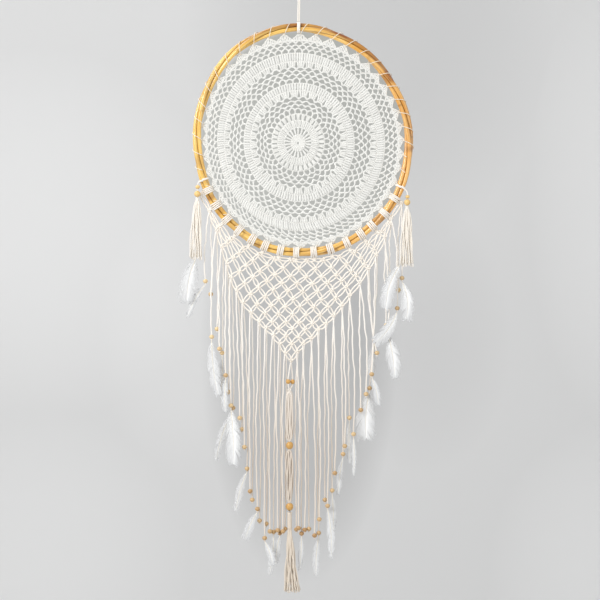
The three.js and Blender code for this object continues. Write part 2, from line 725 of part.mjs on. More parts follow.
function addSideTassels() {
  TASSELS.forEach(({ side, turn, bottom, across, beads }) => {
    const [small, large] = beads;
    const start = aroundHoop(turn, BAND_INNER + 0.6, TASSEL_BAND_SWING);
    const headTop = large.z - large.height / 2 - CLEARANCE - 0.5;
    const headBottom = headTop - TASSEL_HEAD.height;
    const neck = new THREE.Vector3(large.x, TASSEL_DEPTH, headBottom + 1);
    const above = small.z + small.height / 2 + 1;
    const thread = curveThrough([
      start,
      new THREE.Vector3(
        THREE.MathUtils.lerp(start.x, small.x, 0.8), TASSEL_DEPTH, (start.z + above) / 2),
      new THREE.Vector3(small.x, TASSEL_DEPTH, above),
      new THREE.Vector3((small.x + large.x) / 2, TASSEL_DEPTH, (small.z + large.z) / 2),
      new THREE.Vector3(large.x, TASSEL_DEPTH, headTop - 3),
    ]);
    const pieces = [
      hoopBand(turn, TASSEL_BAND_WIDTH),
      cordAlong(thread, TASSEL_THREAD, STRAND_SIDES, TASSEL_THREAD_STEPS),
      tasselHead({ ...TASSEL_HEAD, x: large.x, y: TASSEL_DEPTH, top: headTop, bottom: headBottom }),
      ...tasselLocks({ neck, bottom, across }),
    ];
    addPiece(`tassel_${side}`, joined(pieces), CORD_COTTON);
    beads.forEach(({ name, x, z, radius, height }) => {
      const bead = beadAt({ ...TASSEL_BEAD, x, y: TASSEL_DEPTH, z, radius, height });
      addPiece(`tassel_bead_${side}_${name}`, bead, WOOD);
    });
  });
}

function addCentreTassel() {
  const { x, top, neck, bottom, lean, spread, radius, ridges } = CENTRE_TASSEL;
  const neckPlace = new THREE.Vector3(x, 0, neck + 1);
  const across = [x + lean - spread, x + lean + spread];
  addPiece("centre_tassel", joined([
    tasselHead({ x, y: 0, top, bottom: neck, radius, ridges }),
    ...tasselLocks({ neck: neckPlace, bottom, across }),
  ]), CORD_COTTON);
}

// A feather: a thin leaf on a quill, bent sideways and swung away from the fringe
function featherAt({ base, across, length, width, bend, swing }) {
  const leaf = new THREE.SphereGeometry(1, 4, FEATHER_RINGS);
  const places = leaf.attributes.position;
  const spine = new THREE.Vector2(across, -length);
  const sideways = new THREE.Vector2(length, across).normalize();
  for (let k = 0; k < places.count; k += 1) {
    const share = (1 - places.getY(k)) / 2;
    const girth = Math.sqrt(Math.max(1e-9, 1 - places.getY(k) ** 2));
    const vane = Math.max(0, (share - QUILL_SHARE) / (1 - QUILL_SHARE));
    const half = QUILL_RADIUS + (width / 2 - QUILL_RADIUS) * Math.sin(Math.PI * vane ** 0.75);
    const thick = FEATHER_THICKNESS / 2;
    const side = (places.getX(k) / girth) * half + bend * Math.sin(Math.PI * share);
    const onAxis = girth < 1e-3;
    const sidePlace = onAxis ? 0 : side;
    const deep = onAxis ? 0 : (places.getZ(k) / girth) * thick;
    places.setXYZ(
      k,
      base.x + spine.x * share + sideways.x * sidePlace,
      base.y + swing * (1 - (1 - share) ** 2) + deep,
      base.z + spine.y * share + sideways.y * sidePlace);
  }
  return leaf;
}

function addFeathers() {
  FEATHERS.forEach((entry) => {
    const base = beadPlace(entry);
    base.z -= STRAND_TAIL + FEATHER_GAP;
    const swing = entry.layer === "front" ? -FEATHER_SWING : FEATHER_SWING;
    const name = `feather_${entry.from}_${entry.row}_${entry.layer}`;
    addPiece(name, featherAt({ ...entry, base, swing }), FEATHER_WHITE);
  });
  TASSEL_FEATHERS.forEach(({ side, lock, ...shape }) => {
    const tassel = TASSELS.find((entry) => entry.side === side);
    const base = lockEnd(lock, { ...tassel, depth: TASSEL_DEPTH });
    base.z -= FEATHER_GAP;
    const feather = featherAt({ ...shape, base, swing: -TASSEL_FEATHER_SWING });
    addPiece(`feather_tassel_${side}`, feather, FEATHER_WHITE);
  });
}

addHoop();
addDoily();
addLacing();
addHanger();
addMacrame();
addBeads();
addSideTassels();
addCentreTassel();
addFeathers();

export default part;
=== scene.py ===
import logging
import math
from dataclasses import dataclass, field, fields, replace
from enum import Enum

import bpy
import numpy as np
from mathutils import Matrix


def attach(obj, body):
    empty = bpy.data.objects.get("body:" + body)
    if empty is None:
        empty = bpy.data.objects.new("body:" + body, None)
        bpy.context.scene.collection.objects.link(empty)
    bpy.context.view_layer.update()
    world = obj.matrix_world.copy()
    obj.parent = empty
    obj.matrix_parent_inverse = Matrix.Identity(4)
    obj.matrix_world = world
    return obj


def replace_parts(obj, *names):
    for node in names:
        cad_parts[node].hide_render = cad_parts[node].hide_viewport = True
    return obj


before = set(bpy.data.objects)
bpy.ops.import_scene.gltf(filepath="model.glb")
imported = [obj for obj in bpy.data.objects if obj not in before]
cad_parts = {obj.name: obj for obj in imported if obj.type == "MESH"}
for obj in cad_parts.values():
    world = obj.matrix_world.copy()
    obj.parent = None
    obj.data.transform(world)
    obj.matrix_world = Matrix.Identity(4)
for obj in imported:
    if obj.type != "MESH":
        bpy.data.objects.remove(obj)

LOG = logging.getLogger("dreamcatcher")
BODY = "root"
MM = 0.001
MM_IN_CM = 10
TINY = 1e-9
FRONT_TO_BACK = (0.0, 1.0, 0.0)
UP = (0.0, 0.0, 1.0)
BLACK = (0.0, 0.0, 0.0)
# The Mix node's colour sockets
FIRST_COLOUR, SECOND_COLOUR, MIXED_COLOUR = 6, 7, 2
# Points in each turn of a coil, in a knot, and between two places of a drawn line
COIL_POINTS, KNOT_POINTS, DRAWN_POINTS = 26, 28, 14
# How far a line's closed end bulges, as a share of its half width
CAP_BULGE = 0.4
# Radians over a stitch that bows once, or swells twice
ONE_WAVE, TWO_WAVES = 6.3, 12.6
# Faces and UV corners of a shell that has no three-sided faces
NO_TRIS = (np.zeros((0, 3), int), np.zeros((0, 3, 2)))

Array = np.ndarray
Colour = tuple[float, float, float]
Place = tuple[float, float, float]


class Slot(Enum):
    """The record's material slots."""

    RATTAN = "rattan"
    DOILY = "doily_cotton"
    THREAD = "thread"
    CORD = "cord_cotton"
    WOOD = "wood"
    WOOD_GOLD = "wood_gold"
    FEATHER = "feather"


class Layer(Enum):
    """Which side of the hoop's plane a strand hangs on, as the sign of its depth."""

    FRONT = -1.0
    BACK = 1.0


class Side(Enum):
    """The viewer's left or right."""

    LEFT = "left"
    RIGHT = "right"


# Shader maths


@dataclass(frozen=True)
class Shade:
    """A value in a material, either a socket or a number, whose arithmetic adds Math nodes."""

    tree: bpy.types.NodeTree
    value: object

    def _math(self, operation: str, *others: object) -> "Shade":
        """Adds one Math node.

        Args:
            operation: The node's operation.
            others: The values or links after this one.

        Returns:
            The node's result.
        """
        node = self.tree.nodes.new("ShaderNodeMath")
        node.operation = operation
        for socket, value in zip(node.inputs, (self, *others)):
            put(self.tree, socket, value)
        return Shade(self.tree, node.outputs[0])

    def __add__(self, other: object) -> "Shade":
        """Sum."""
        return self._math("ADD", other)

    __radd__ = __add__

    def __sub__(self, other: object) -> "Shade":
        """Difference."""
        return self._math("SUBTRACT", other)

    def __rsub__(self, other: float) -> "Shade":
        """Difference from a number."""
        return Shade(self.tree, other)._math("SUBTRACT", self)

    def __mul__(self, other: object) -> "Shade":
        """Product."""
        return self._math("MULTIPLY", other)

    __rmul__ = __mul__

    def cosine(self) -> "Shade":
        """Cosine of a value in radians."""
        return self._math("COSINE")

    def clamped(self) -> "Shade":
        """The value held between 0 and 1."""
        return self.at_least(0.0)._math("MINIMUM", 1.0)

    def at_least(self, other: object) -> "Shade":
        """The greater of two values."""
        return self._math("MAXIMUM", other)


def put(tree: bpy.types.NodeTree, socket: bpy.types.NodeSocket, value: object) -> None:
    """Gives a socket a link or a plain value.

    Args:
        tree: The material's nodes.
        socket: The input to fill.
        value: A Shade, a socket, a number or a tuple.
    """
    if isinstance(value, Shade):
        value = value.value
    if isinstance(value, bpy.types.NodeSocket):
        tree.links.new(value, socket)
    elif isinstance(value, tuple) and len(value) == 3 and socket.type == "RGBA":
        socket.default_value = (*value, 1.0)
    else:
        socket.default_value = value


class Dye:
    """A new material and the nodes that are added to it."""

    def __init__(self, name: str) -> None:
        """Starts with an empty tree and a Principled shader.

        Args:
            name: The material's name.
        """
        self.material = bpy.data.materials.new(name)
        self.material.use_nodes = True
        self.tree = self.material.node_tree
        self.tree.nodes.clear()
        self.shader = self.tree.nodes.new("ShaderNodeBsdfPrincipled")
        output = self.tree.nodes.new("ShaderNodeOutputMaterial")
        self.tree.links.new(self.shader.outputs[0], output.inputs[0])

    def node(self, kind: str, settings: dict, inputs: dict, output: int | str = 0) -> Shade:
        """Adds a node.

        Args:
            kind: The node's type.
            settings: Its properties, which are set first.
            inputs: The values or links of its sockets, by name or number.
            output: The socket that is returned.

        Returns:
            The node's output.
        """
        node = self.tree.nodes.new(kind)
        for key, value in settings.items():
            setattr(node, key, value)
        for key, value in inputs.items():
            put(self.tree, node.inputs[key], value)
        return Shade(self.tree, node.outputs[output])

    def attribute(self, name: str) -> Shade:
        """A number stored at each vertex."""
        return self.node("ShaderNodeAttribute", {"attribute_name": name}, {}, "Fac")

    def place(self) -> Shade:
        """Object coordinates, in metres."""
        return self.node("ShaderNodeTexCoord", {}, {}, "Object")

    def parts(self, vector: Shade) -> list[Shade]:
        """A vector's three parts.

        Args:
            vector: The vector.

        Returns:
            X, Y and Z.
        """
        split = self.tree.nodes.new("ShaderNodeSeparateXYZ")
        put(self.tree, split.inputs[0], vector)
        return [Shade(self.tree, output) for output in split.outputs]

    def unrolled(self) -> list[Shade]:
        """The share of the way round a strand, and the way along it in centimetres."""
        return self.parts(self.node("ShaderNodeTexCoord", {}, {}, "UV"))[:2]

    def vector(self, x: object, y: object, z: object = 0.0) -> Shade:
        """A vector from three values."""
        return self.node("ShaderNodeCombineXYZ", {}, {0: x, 1: y, 2: z})

    def noise(self, vector: Shade, scale: float, detail: float) -> Shade:
        """Even noise from 0 to 1."""
        return self.node("ShaderNodeTexNoise", {}, {
            "Vector": vector, "Scale": scale, "Detail": detail}, "Fac")

    def mix(self, share: object, first: object, second: object) -> Shade:
        """A colour between two colours."""
        return self.node("ShaderNodeMix", {"data_type": "RGBA"}, {
            "Factor": share, FIRST_COLOUR: first, SECOND_COLOUR: second}, MIXED_COLOUR)

    def bump(self, height: Shade, strength: float, distance: float) -> Shade:
        """A normal from a height, with distance in metres."""
        return self.node("ShaderNodeBump", {}, {
            "Strength": strength, "Distance": distance, "Height": height})

    def finished(self, **sockets: object) -> bpy.types.Material:
        """Fills the shader's sockets.

        Args:
            sockets: Values or links, with an underline for each space in a socket's name.

        Returns:
            The material.
        """
        for name, value in sockets.items():
            put(self.tree, self.shader.inputs[name.replace("_", " ")], value)
        return self.material


@dataclass(frozen=True)
class CottonFinish:
    """Spun cotton: pale plies, painted shade in the grooves between them and a soft fibre relief.
    Painted shade also deepens it below a height in metres, where less light falls, at a rate for
    each metre and up to a depth. Its tint is a share of the strand's tone and a share of a
    cloud, less a start."""

    name: str
    light: Colour
    warm: Colour
    # The colour of the painted shade: in the grooves, at shaded vertices and low down
    groove: Colour
    plies: float = 3.0
    groove_share: float = 0.4
    low_depth: float = 0.45
    low_from: float = -0.68
    low_rate: float = 4.4
    cloud_scale: float = 55.0
    tone_share: float = 0.6
    cloud_share: float = 0.6
    tint_start: float = 0.2
    fibres: tuple[float, float] = (9.0, 16.0)

    def material(self) -> bpy.types.Material:
        """Mixes the two tints by strand and by place, then paints shade into the grooves,
        at shaded vertices and below a height.

        Returns:
            The material.
        """
        dye = Dye(self.name)
        around, along = dye.unrolled()
        place = dye.place()
        cloud = dye.noise(place, self.cloud_scale, 3.0)
        # Painted shade, darker below a height
        low = ((dye.parts(place)[2] - self.low_from) * -self.low_rate).clamped() * self.low_depth
        tint = dye.attribute("tone") * self.tone_share + cloud * self.cloud_share - self.tint_start
        body = dye.mix(tint.clamped(), self.light, self.warm)
        # Painted shade in the grooves between the plies
        ply = 0.5 - 0.5 * (around * (2 * math.pi * self.plies)).cosine()
        # All the painted shade: the grooves, the vertex's shade and low down
        deep = (ply * self.groove_share + dye.attribute("shade") + low).clamped()
        fibre = dye.noise(dye.vector(around * self.fibres[0], along * self.fibres[1]), 3.0, 3.0)
        height = fibre * 0.5 - ply * 0.6
        return dye.finished(
            Base_Color=dye.mix(deep, body, self.groove),
            Roughness=0.88 - 0.1 * fibre,
            Sheen_Weight=0.25,
            Sheen_Roughness=0.5,
            Normal=dye.bump(height, 0.35, 0.0004),
        )


@dataclass(frozen=True)
class RattanFinish:
    """Varnished cane: honey streaks along it, redder at the hoop's right, amber patches, painted
    shade at the seams between the canes and a clear coat. Streaks and patches have how often
    they change round a cane and along it, and the redness has its rise for each metre to the
    right and its start."""

    name: str = "rattan_varnished"
    honey: Colour = (0.77, 0.41, 0.05)
    pale: Colour = (0.99, 0.71, 0.24)
    russet: Colour = (0.70, 0.29, 0.035)
    peach: Colour = (0.97, 0.61, 0.22)
    amber: Colour = (0.27, 0.08, 0.008)
    # The colour of the painted shade at the seams, and of the dark joints
    seam: Colour = (0.17, 0.05, 0.003)
    streaks: tuple[float, float] = (14.0, 0.22)
    patches: tuple[float, float] = (1.3, 0.12)
    patch_place: float = 4.0
    redness: tuple[float, float] = (4.0, 0.1)

    def material(self) -> bpy.types.Material:
        """Streaks run along the cane, and the tone at each vertex says where it is darker.

        Returns:
            The material.
        """
        dye = Dye(self.name)
        around, along = dye.unrolled()
        streak = dye.noise(dye.vector(around * self.streaks[0], along * self.streaks[1]), 1.0, 4.0)
        patch = dye.noise(dye.vector(
            around * self.patches[0], along * self.patches[1], self.patch_place), 1.0, 2.0)
        right = (dye.parts(dye.place())[0] * self.redness[0] + self.redness[1]).clamped()
        base = dye.mix(
            (streak * 3.2 - 1.15).clamped(), dye.mix(right, self.honey, self.russet),
            dye.mix(right, self.pale, self.peach))
        brown = (dye.attribute("tone") * (streak * 2.2 + patch * 0.8 - 0.55)).clamped()
        base = dye.mix(brown, base, self.amber)
        # The shade attribute paints shade at the seams between the canes, and darkens the joints
        return dye.finished(
            Base_Color=dye.mix(dye.attribute("shade"), base, self.seam),
            Roughness=0.22 + 0.16 * streak,
            Coat_Weight=0.6,
            Coat_Roughness=0.12,
            Normal=dye.bump(streak, 0.25, 0.0004),
        )


@dataclass(frozen=True)
class WoodFinish:
    """Turned wood with fine grain along the bore, and painted shade in the bore and at its mouth
    at each end. The grain is how often the noise changes across, through and up a bead."""

    name: str
    pale: Colour
    deep: Colour
    # The colour of the painted shade in the bore and at its mouths
    bore: Colour = (0.12, 0.05, 0.015)
    grain: Place = (900.0, 900.0, 90.0)

    def material(self) -> bpy.types.Material:
        """Grain is noise stretched along Z, and each bead's own tone shifts it.

        Returns:
            The material.
        """
        dye = Dye(self.name)
        place = dye.node("ShaderNodeMapping", {}, {"Vector": dye.place(), "Scale": self.grain})
        grain = dye.noise(place, 1.0, 3.0)
        share = (dye.attribute("tone") * 0.8 + grain * 0.9 - 0.4).clamped()
        base = dye.mix(share, self.pale, self.deep)
        # The shade attribute paints shade in the bore and at its mouths
        return dye.finished(
            Base_Color=dye.mix(dye.attribute("shade"), base, self.bore),
            Roughness=0.36 + 0.2 * grain,
            Coat_Weight=0.25,
            Coat_Roughness=0.2,
            Normal=dye.bump(grain, 0.2, 0.0003),
        )


@dataclass(frozen=True)
class FeatherFinish:
    """White barbs, a cooler thin edge and an ivory quill. Clear is how much a barb's thin end
    lets through."""

    name: str = "feather_white"
    vane: Colour = (0.97, 0.97, 0.965)
    edge: Colour = (0.90, 0.91, 0.92)
    quill: Colour = (0.86, 0.80, 0.68)
    cloud_scale: float = 160.0
    clear: float = 0.62

    def material(self) -> bpy.types.Material:
        """The tone is 1 on the quill, and the shade grows towards a barb's thin end.

        Returns:
            The material.
        """
        dye = Dye(self.name)
        cloud = dye.noise(dye.place(), self.cloud_scale, 3.0)
        thin = (dye.attribute("shade") * 0.7 + cloud * 0.5 - 0.25).clamped()
        base = dye.mix(thin, self.vane, self.edge)
        return dye.finished(
            Base_Color=dye.mix(dye.attribute("tone"), base, self.quill),
            Roughness=0.6 + 0.15 * cloud,
            Alpha=1 - self.clear * dye.attribute("shade"),
            Sheen_Weight=0.3,
            Sheen_Roughness=0.4,
        )


@dataclass(frozen=True)
class PaintedShadeSpot:
    """A soft painted shade on the paper, or painted light where its depth is below zero: an
    ellipse's middle and half sizes in metres, how steep its edge is, and how dark it is."""

    x: float
    z: float
    half_width: float
    half_height: float
    steep: float
    depth: float

    def on(self, x: Shade, z: Shade) -> Shade:
        """The shade at a place: the depth times the clamped value of the steepness times
        (1 - d squared), where d is 1 on the ellipse.

        Args:
            x: The place across.
            z: Its height.

        Returns:
            The share of light that is lost.
        """
        across = (x - self.x) * (1 / self.half_width)
        up = (z - self.z) * (1 / self.half_height)
        return ((1 - (across * across + up * up)) * self.steep).clamped() * self.depth


@dataclass(frozen=True)
class WallFinish:
    """The studio's matt paper, with painted shadow and painted light: a painted shadow of the
    piece makes it darker behind the piece, painted shade makes it darker above it, painted light
    makes it a little brighter at both sides, where the depth is below zero, and the painted
    shadow behind the hoop is tinted. The lift is the painted shade that the plain colour stands
    for, so that a spot can also brighten it."""

    name: str = "studio_paper"
    colour: Colour = (0.692, 0.69, 0.686)
    # The colour that the painted shadow behind the hoop turns towards
    tint: Colour = (0.50, 0.515, 0.41)
    lift: float = 0.1
    behind_hoop: PaintedShadeSpot = PaintedShadeSpot(0.0206, 0.1928, 0.534, 0.567, 12.0, 0.235)
    behind_fringe: PaintedShadeSpot = PaintedShadeSpot(-0.0031, -0.85, 0.50, 1.20, 1.6, 0.22)
    # More painted shade on the paper, and painted light where a depth is below zero
    others: tuple[PaintedShadeSpot, ...] = (
        PaintedShadeSpot(0.35, 0.88, 0.95, 1.3, 1.2, 0.11), PaintedShadeSpot(1.65, -0.1, 0.5, 1.2, 1.0, -0.1),
        PaintedShadeSpot(-1.36, -0.28, 1.0, 0.95, 1.0, -0.1), PaintedShadeSpot(1.65, -2.0, 0.7, 0.8, 1.0, -0.1),
        PaintedShadeSpot(0.62, -0.8, 0.45, 0.7, 1.0, 0.07), PaintedShadeSpot(-0.62, -0.8, 0.4, 0.7, 1.0, -0.05),
        PaintedShadeSpot(-1.35, -1.95, 0.8, 0.8, 1.0, -0.08))

    def material(self) -> bpy.types.Material:
        """A matt surface that darkens in the soft spots.

        Returns:
            The material.
        """
        dye = Dye(self.name)
        x, _, z = dye.parts(dye.place())
        # Painted shadow behind the hoop and the fringe, then the other spots of painted shade and
        # light, and the painted shadow's tint behind the hoop
        shade = self.behind_hoop.on(x, z).at_least(self.behind_fringe.on(x, z))
        for spot in self.others:
            shade = shade + spot.on(x, z)
        unshaded = tuple(c / (1 - self.lift) for c in self.colour)
        paper = dye.mix(shade + self.lift, unshaded, BLACK)
        return dye.finished(
            Base_Color=dye.mix(self.behind_hoop.on(x, z), paper, self.tint),
            Roughness=0.95,
        )


CORD_COTTON = CottonFinish(
    "cord_cotton", (0.985, 0.95, 0.89), (0.94, 0.87, 0.76), (0.60, 0.49, 0.37))
LOOSE_COTTON = CottonFinish(
    "loose_cotton", (0.985, 0.957, 0.912), (0.94, 0.885, 0.80), (0.60, 0.50, 0.40))
CROCHET_COTTON = CottonFinish(
    "crochet_cotton", (0.885, 0.88, 0.845), (0.74, 0.735, 0.70), (0.54, 0.53, 0.49),
    plies=2.0, groove_share=0.3, low_depth=0.0)
LACING_COTTON = CottonFinish(
    "lacing_cotton", (0.95, 0.89, 0.77), (0.90, 0.80, 0.62), (0.60, 0.46, 0.28),
    plies=2.0, groove_share=0.4, low_depth=0.0)
BEAD_WOOD = WoodFinish("bead_wood", (0.86, 0.66, 0.37), (0.42, 0.235, 0.09))
GOLD_WOOD = WoodFinish("bead_wood_gold", (0.72, 0.42, 0.12), (0.42, 0.20, 0.045))
HONEY_WOOD = WoodFinish("bead_wood_honey", (0.93, 0.66, 0.27), (0.66, 0.36, 0.09))


# Meshes from arrays


@dataclass(frozen=True)
class Section:
    """The cross-section of a thread, cord or cane.

    Half its width lies across the picture and half its thickness through it, in mm. Plies are
    lobes round it, a groove is their depth as a share, and lay is the length of their full turn.
    """

    across: float
    through: float
    sides: int = 6
    plies: int = 0
    groove: float = 0.0
    lay: float = 0.0


@dataclass
class Shell:
    """A mesh as arrays: points in mm, four-sided and three-sided faces, their UV corners, and
    two numbers at each point that the finishes read."""

    points: Array
    quads: Array
    quad_uv: Array
    tris: Array
    tri_uv: Array
    tone: Array
    shade: Array

    def triangles(self) -> int:
        """The number of triangles."""
        return 2 * len(self.quads) + len(self.tris)


def joined(shells: list[Shell]) -> Shell:
    """Puts several shells in one, and shifts the faces' point numbers.

    Args:
        shells: The shells, in order.

    Returns:
        One shell.
    """
    starts = np.cumsum([0, *(len(s.points) for s in shells)])[:-1]
    parts = [replace(s, quads=s.quads + k, tris=s.tris + k) for s, k in zip(shells, starts)]
    return Shell(*(np.concatenate([getattr(p, f.name) for p in parts]) for f in fields(Shell)))


def unit(vectors: Array) -> Array:
    """Vectors of length 1, along the last axis."""
    return vectors / np.maximum(np.linalg.norm(vectors, axis=-1, keepdims=True), TINY)


def grid_faces(rows: int, columns: int, wrap_rows: bool) -> tuple[Array, Array]:
    """Faces of a grid whose columns close on themselves.

    Args:
        rows: Rings of points.
        columns: Points in each ring.
        wrap_rows: Whether the last ring joins the first.

    Returns:
        The four corners of each face, and the column and row of each corner without wrapping.
    """
    row = np.arange(rows if wrap_rows else rows - 1)[:, None]
    column = np.arange(columns)[None, :]
    corner_rows = np.stack([row, row, row + 1, row + 1], -1) + 0 * column[..., None]
    corner_columns = np.stack([column, column + 1, column + 1, column], -1) + 0 * row[..., None]
    quads = (corner_rows % rows) * columns + corner_columns % columns
    return quads.reshape(-1, 4), np.stack([corner_columns, corner_rows], -1).reshape(-1, 4, 2)


def trailing(values: Array | float) -> Array:
    """Numbers with as many empty last axes as three axes need."""
    values = np.asarray(values, float)
    return values.reshape(values.shape + (1,) * (3 - values.ndim))


def swept(
    lines: Array,
    section: Section,
    towards: Array | tuple = FRONT_TO_BACK,
    closed: bool = False,
    tone: Array | float = 0.0,
    shade: Array | float = 0.0,
    taper: Array | float = 1.0,
) -> Shell:
    """Carries a section along lines. At each point of a line the ring is the point plus the
    side vector times the cosine and the back vector times the sine of an angle, which turns
    with the way along the line where the section has a lay.

    Args:
        lines: Lines of equal count, as (lines, points, 3) or (points, 3), in mm.
        section: The cross-section.
        towards: The direction that the section's thickness faces, one or one for each point.
        closed: Whether each line is a loop.
        tone: One number, or one for each line, each point along it or each place round it.
        shade: Numbers in the same form.
        taper: A factor on the section, for each point along a line.

    Returns:
        The shell, with both ends of an open line closed.
    """
    lines = np.asarray(lines, float)
    lines = lines[None] if lines.ndim == 2 else lines
    count, rows = lines.shape[:2]
    step = np.diff(lines, axis=1, append=lines[:, :1] if closed else lines[:, -1:])
    length = np.linalg.norm(step, axis=2)
    run = np.concatenate([np.zeros((count, 1)), np.cumsum(length, 1)], 1)
    if closed:
        tangent = unit(np.roll(lines, -1, 1) - np.roll(lines, 1, 1))
    else:
        tangent = unit(np.gradient(lines, axis=1))
    side = unit(np.cross(np.broadcast_to(towards, lines.shape), tangent))
    back = np.cross(tangent, side)
    phi = 2 * math.pi * np.arange(section.sides) / section.sides
    turning = 2 * math.pi * run[:, :-1] / section.lay if section.lay else np.zeros((count, rows))
    angle = phi + turning[..., None]
    taper = np.broadcast_to(taper, (count, rows))[..., None]
    lobe = taper * (1 + section.groove * np.cos(section.plies * phi))
    rings = (
        lines[:, :, None]
        + (section.across * lobe * np.cos(angle))[..., None] * side[:, :, None]
        + (section.through * lobe * np.sin(angle))[..., None] * back[:, :, None]
    )
    quads, corners = grid_faces(rows, section.sides, closed)
    size = rows * section.sides
    starts = np.arange(count) * size
    all_quads = (quads[None] + starts[:, None, None]).reshape(-1, 4)
    uv = np.empty((count, len(quads), 4, 2))
    uv[..., 0] = corners[..., 0] / section.sides
    uv[..., 1] = run[:, corners[..., 1]] / MM_IN_CM
    points = rings.reshape(-1, 3)
    full = (count, rows, section.sides)
    tones, shades = (np.broadcast_to(trailing(v), full) for v in (tone, shade))
    if closed:
        return Shell(
            points, all_quads, uv.reshape(-1, 4, 2), *NO_TRIS, tones.reshape(-1),
            shades.reshape(-1))
    # One more point before the first ring and one past the last close the ends
    bulge = CAP_BULGE * min(section.across, section.through)
    first = lines[:, 0] - bulge * taper[:, 0] * tangent[:, 0]
    last = lines[:, -1] + bulge * taper[:, -1] * tangent[:, -1]
    here = np.arange(section.sides)
    after = (here + 1) % section.sides
    tip = (count * size + np.arange(count))[:, None] + 0 * here
    head = starts[:, None]
    tail = head + (rows - 1) * section.sides
    tris = np.concatenate([
        np.stack([tip, head + after, head + here], -1).reshape(-1, 3),
        np.stack([tip + count, tail + here, tail + after], -1).reshape(-1, 3),
    ])
    tri_uv = np.zeros((len(tris), 3, 2))
    tri_uv[:, :, 0] = np.tile(here, 2 * count)[:, None] / section.sides
    tones, shades = (
        np.concatenate([v.reshape(-1), v[:, 0, 0], v[:, -1, 0]]) for v in (tones, shades))
    return Shell(
        np.concatenate([points, first, last]), all_quads, uv.reshape(-1, 4, 2), tris, tri_uv,
        tones, shades)


def turned(
    profile: Array,
    centres: Array,
    sides: int,
    tone: Array,
    shade: Array,
) -> Shell:
    """Turns a closed profile round a vertical axis at each centre: the point at an angle is
    the centre plus the profile's radius times the cosine and sine, and its height.

    Args:
        profile: Radius and height of each profile point, going up on the outside.
        centres: The axes' middles, in mm.
        sides: Points round each ring.
        tone: One number for each centre.
        shade: One number for each profile point.

    Returns:
        The shell of all copies.
    """
    angle = 2 * math.pi * np.arange(sides) / sides
    radius, height = profile[:, 0, None], profile[:, 1, None] + 0 * angle
    ring = np.stack([radius * np.cos(angle), radius * np.sin(angle), height], -1)
    points = (centres[:, None, None] + ring).reshape(-1, 3)
    quads, corners = grid_faces(len(profile), sides, True)
    starts = np.arange(len(centres)) * len(profile) * sides
    uv = np.broadcast_to(corners / (sides, len(profile)), (len(centres), *corners.shape))
    spread = (len(centres), len(profile), sides)
    return Shell(
        points, (quads + starts[:, None, None]).reshape(-1, 4), uv.reshape(-1, 4, 2), *NO_TRIS,
        np.broadcast_to(tone[:, None, None], spread).reshape(-1),
        np.broadcast_to(shade[None, :, None], spread).reshape(-1))


def drawn(points: list | Array, step: float) -> Array:
    """A smooth line through points, at even steps. Between two points it is the cubic whose
    slope at each is half the way from the point before to the one after.

    Args:
        points: Three or more places, in mm.
        step: The way between the line's points, in mm.

    Returns:
        The line's points.
    """
    points = np.asarray(points, float)
    spans = len(points) - 1
    padded = np.concatenate([
        2 * points[:1] - points[1:2], points, 2 * points[-1:] - points[-2:-1]])
    t = np.linspace(0, spans, DRAWN_POINTS * spans + 1)
    k = np.minimum(t.astype(int), spans - 1)
    u = (t - k)[:, None]
    a, b, c, d = (padded[k + n] for n in range(4))
    dense = 0.5 * (2 * b + (c - a) * u + (2 * a - 5 * b + 4 * c - d) * u**2
                   + (3 * b - a - 3 * c + d) * u**3)
    run = np.concatenate([[0], np.cumsum(np.linalg.norm(np.diff(dense, axis=0), axis=1))])
    even = np.linspace(0, run[-1], max(4, round(run[-1] / step) + 1))
    return np.stack([np.interp(even, run, dense[:, n]) for n in range(3)], -1)


def made(name: str, shell: Shell, material: bpy.types.Material) -> bpy.types.Object:
    """Puts a shell in a new object at the origin that rides on the frame.

    Args:
        name: The piece's name.
        shell: Its mesh, in mm.
        material: Its finish.

    Returns:
        The object.
    """
    mesh = bpy.data.meshes.new(name)
    mesh.vertices.add(len(shell.points))
    mesh.vertices.foreach_set("co", (shell.points * MM).astype(np.float32).ravel())
    corners = np.concatenate([shell.quads.ravel(), shell.tris.ravel()]).astype(np.int32)
    mesh.loops.add(len(corners))
    mesh.loops.foreach_set("vertex_index", corners)
    sizes = np.concatenate([np.full(len(shell.quads), 4), np.full(len(shell.tris), 3)])
    mesh.polygons.add(len(sizes))
    mesh.polygons.foreach_set("loop_start", (np.cumsum(sizes) - sizes).astype(np.int32))
    mesh.polygons.foreach_set("use_smooth", np.ones(len(sizes), bool))
    uv = mesh.uv_layers.new(name="UVMap")
    both = np.concatenate([shell.quad_uv.reshape(-1), shell.tri_uv.reshape(-1)])
    uv.data.foreach_set("uv", both.astype(np.float32))
    for label, values in (("tone", shell.tone), ("shade", shell.shade)):
        attribute = mesh.attributes.new(label, "FLOAT", "POINT")
        attribute.data.foreach_set("value", values.astype(np.float32))
    mesh.update(calc_edges=True)
    mesh.validate()
    mesh.materials.append(material)
    piece = bpy.data.objects.new(name, mesh)
    bpy.context.scene.collection.objects.link(piece)
    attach(piece, BODY)
    LOG.info("%s: %d triangles", name, shell.triangles())
    return piece


# The hoop's own geometry, which most pieces are placed by


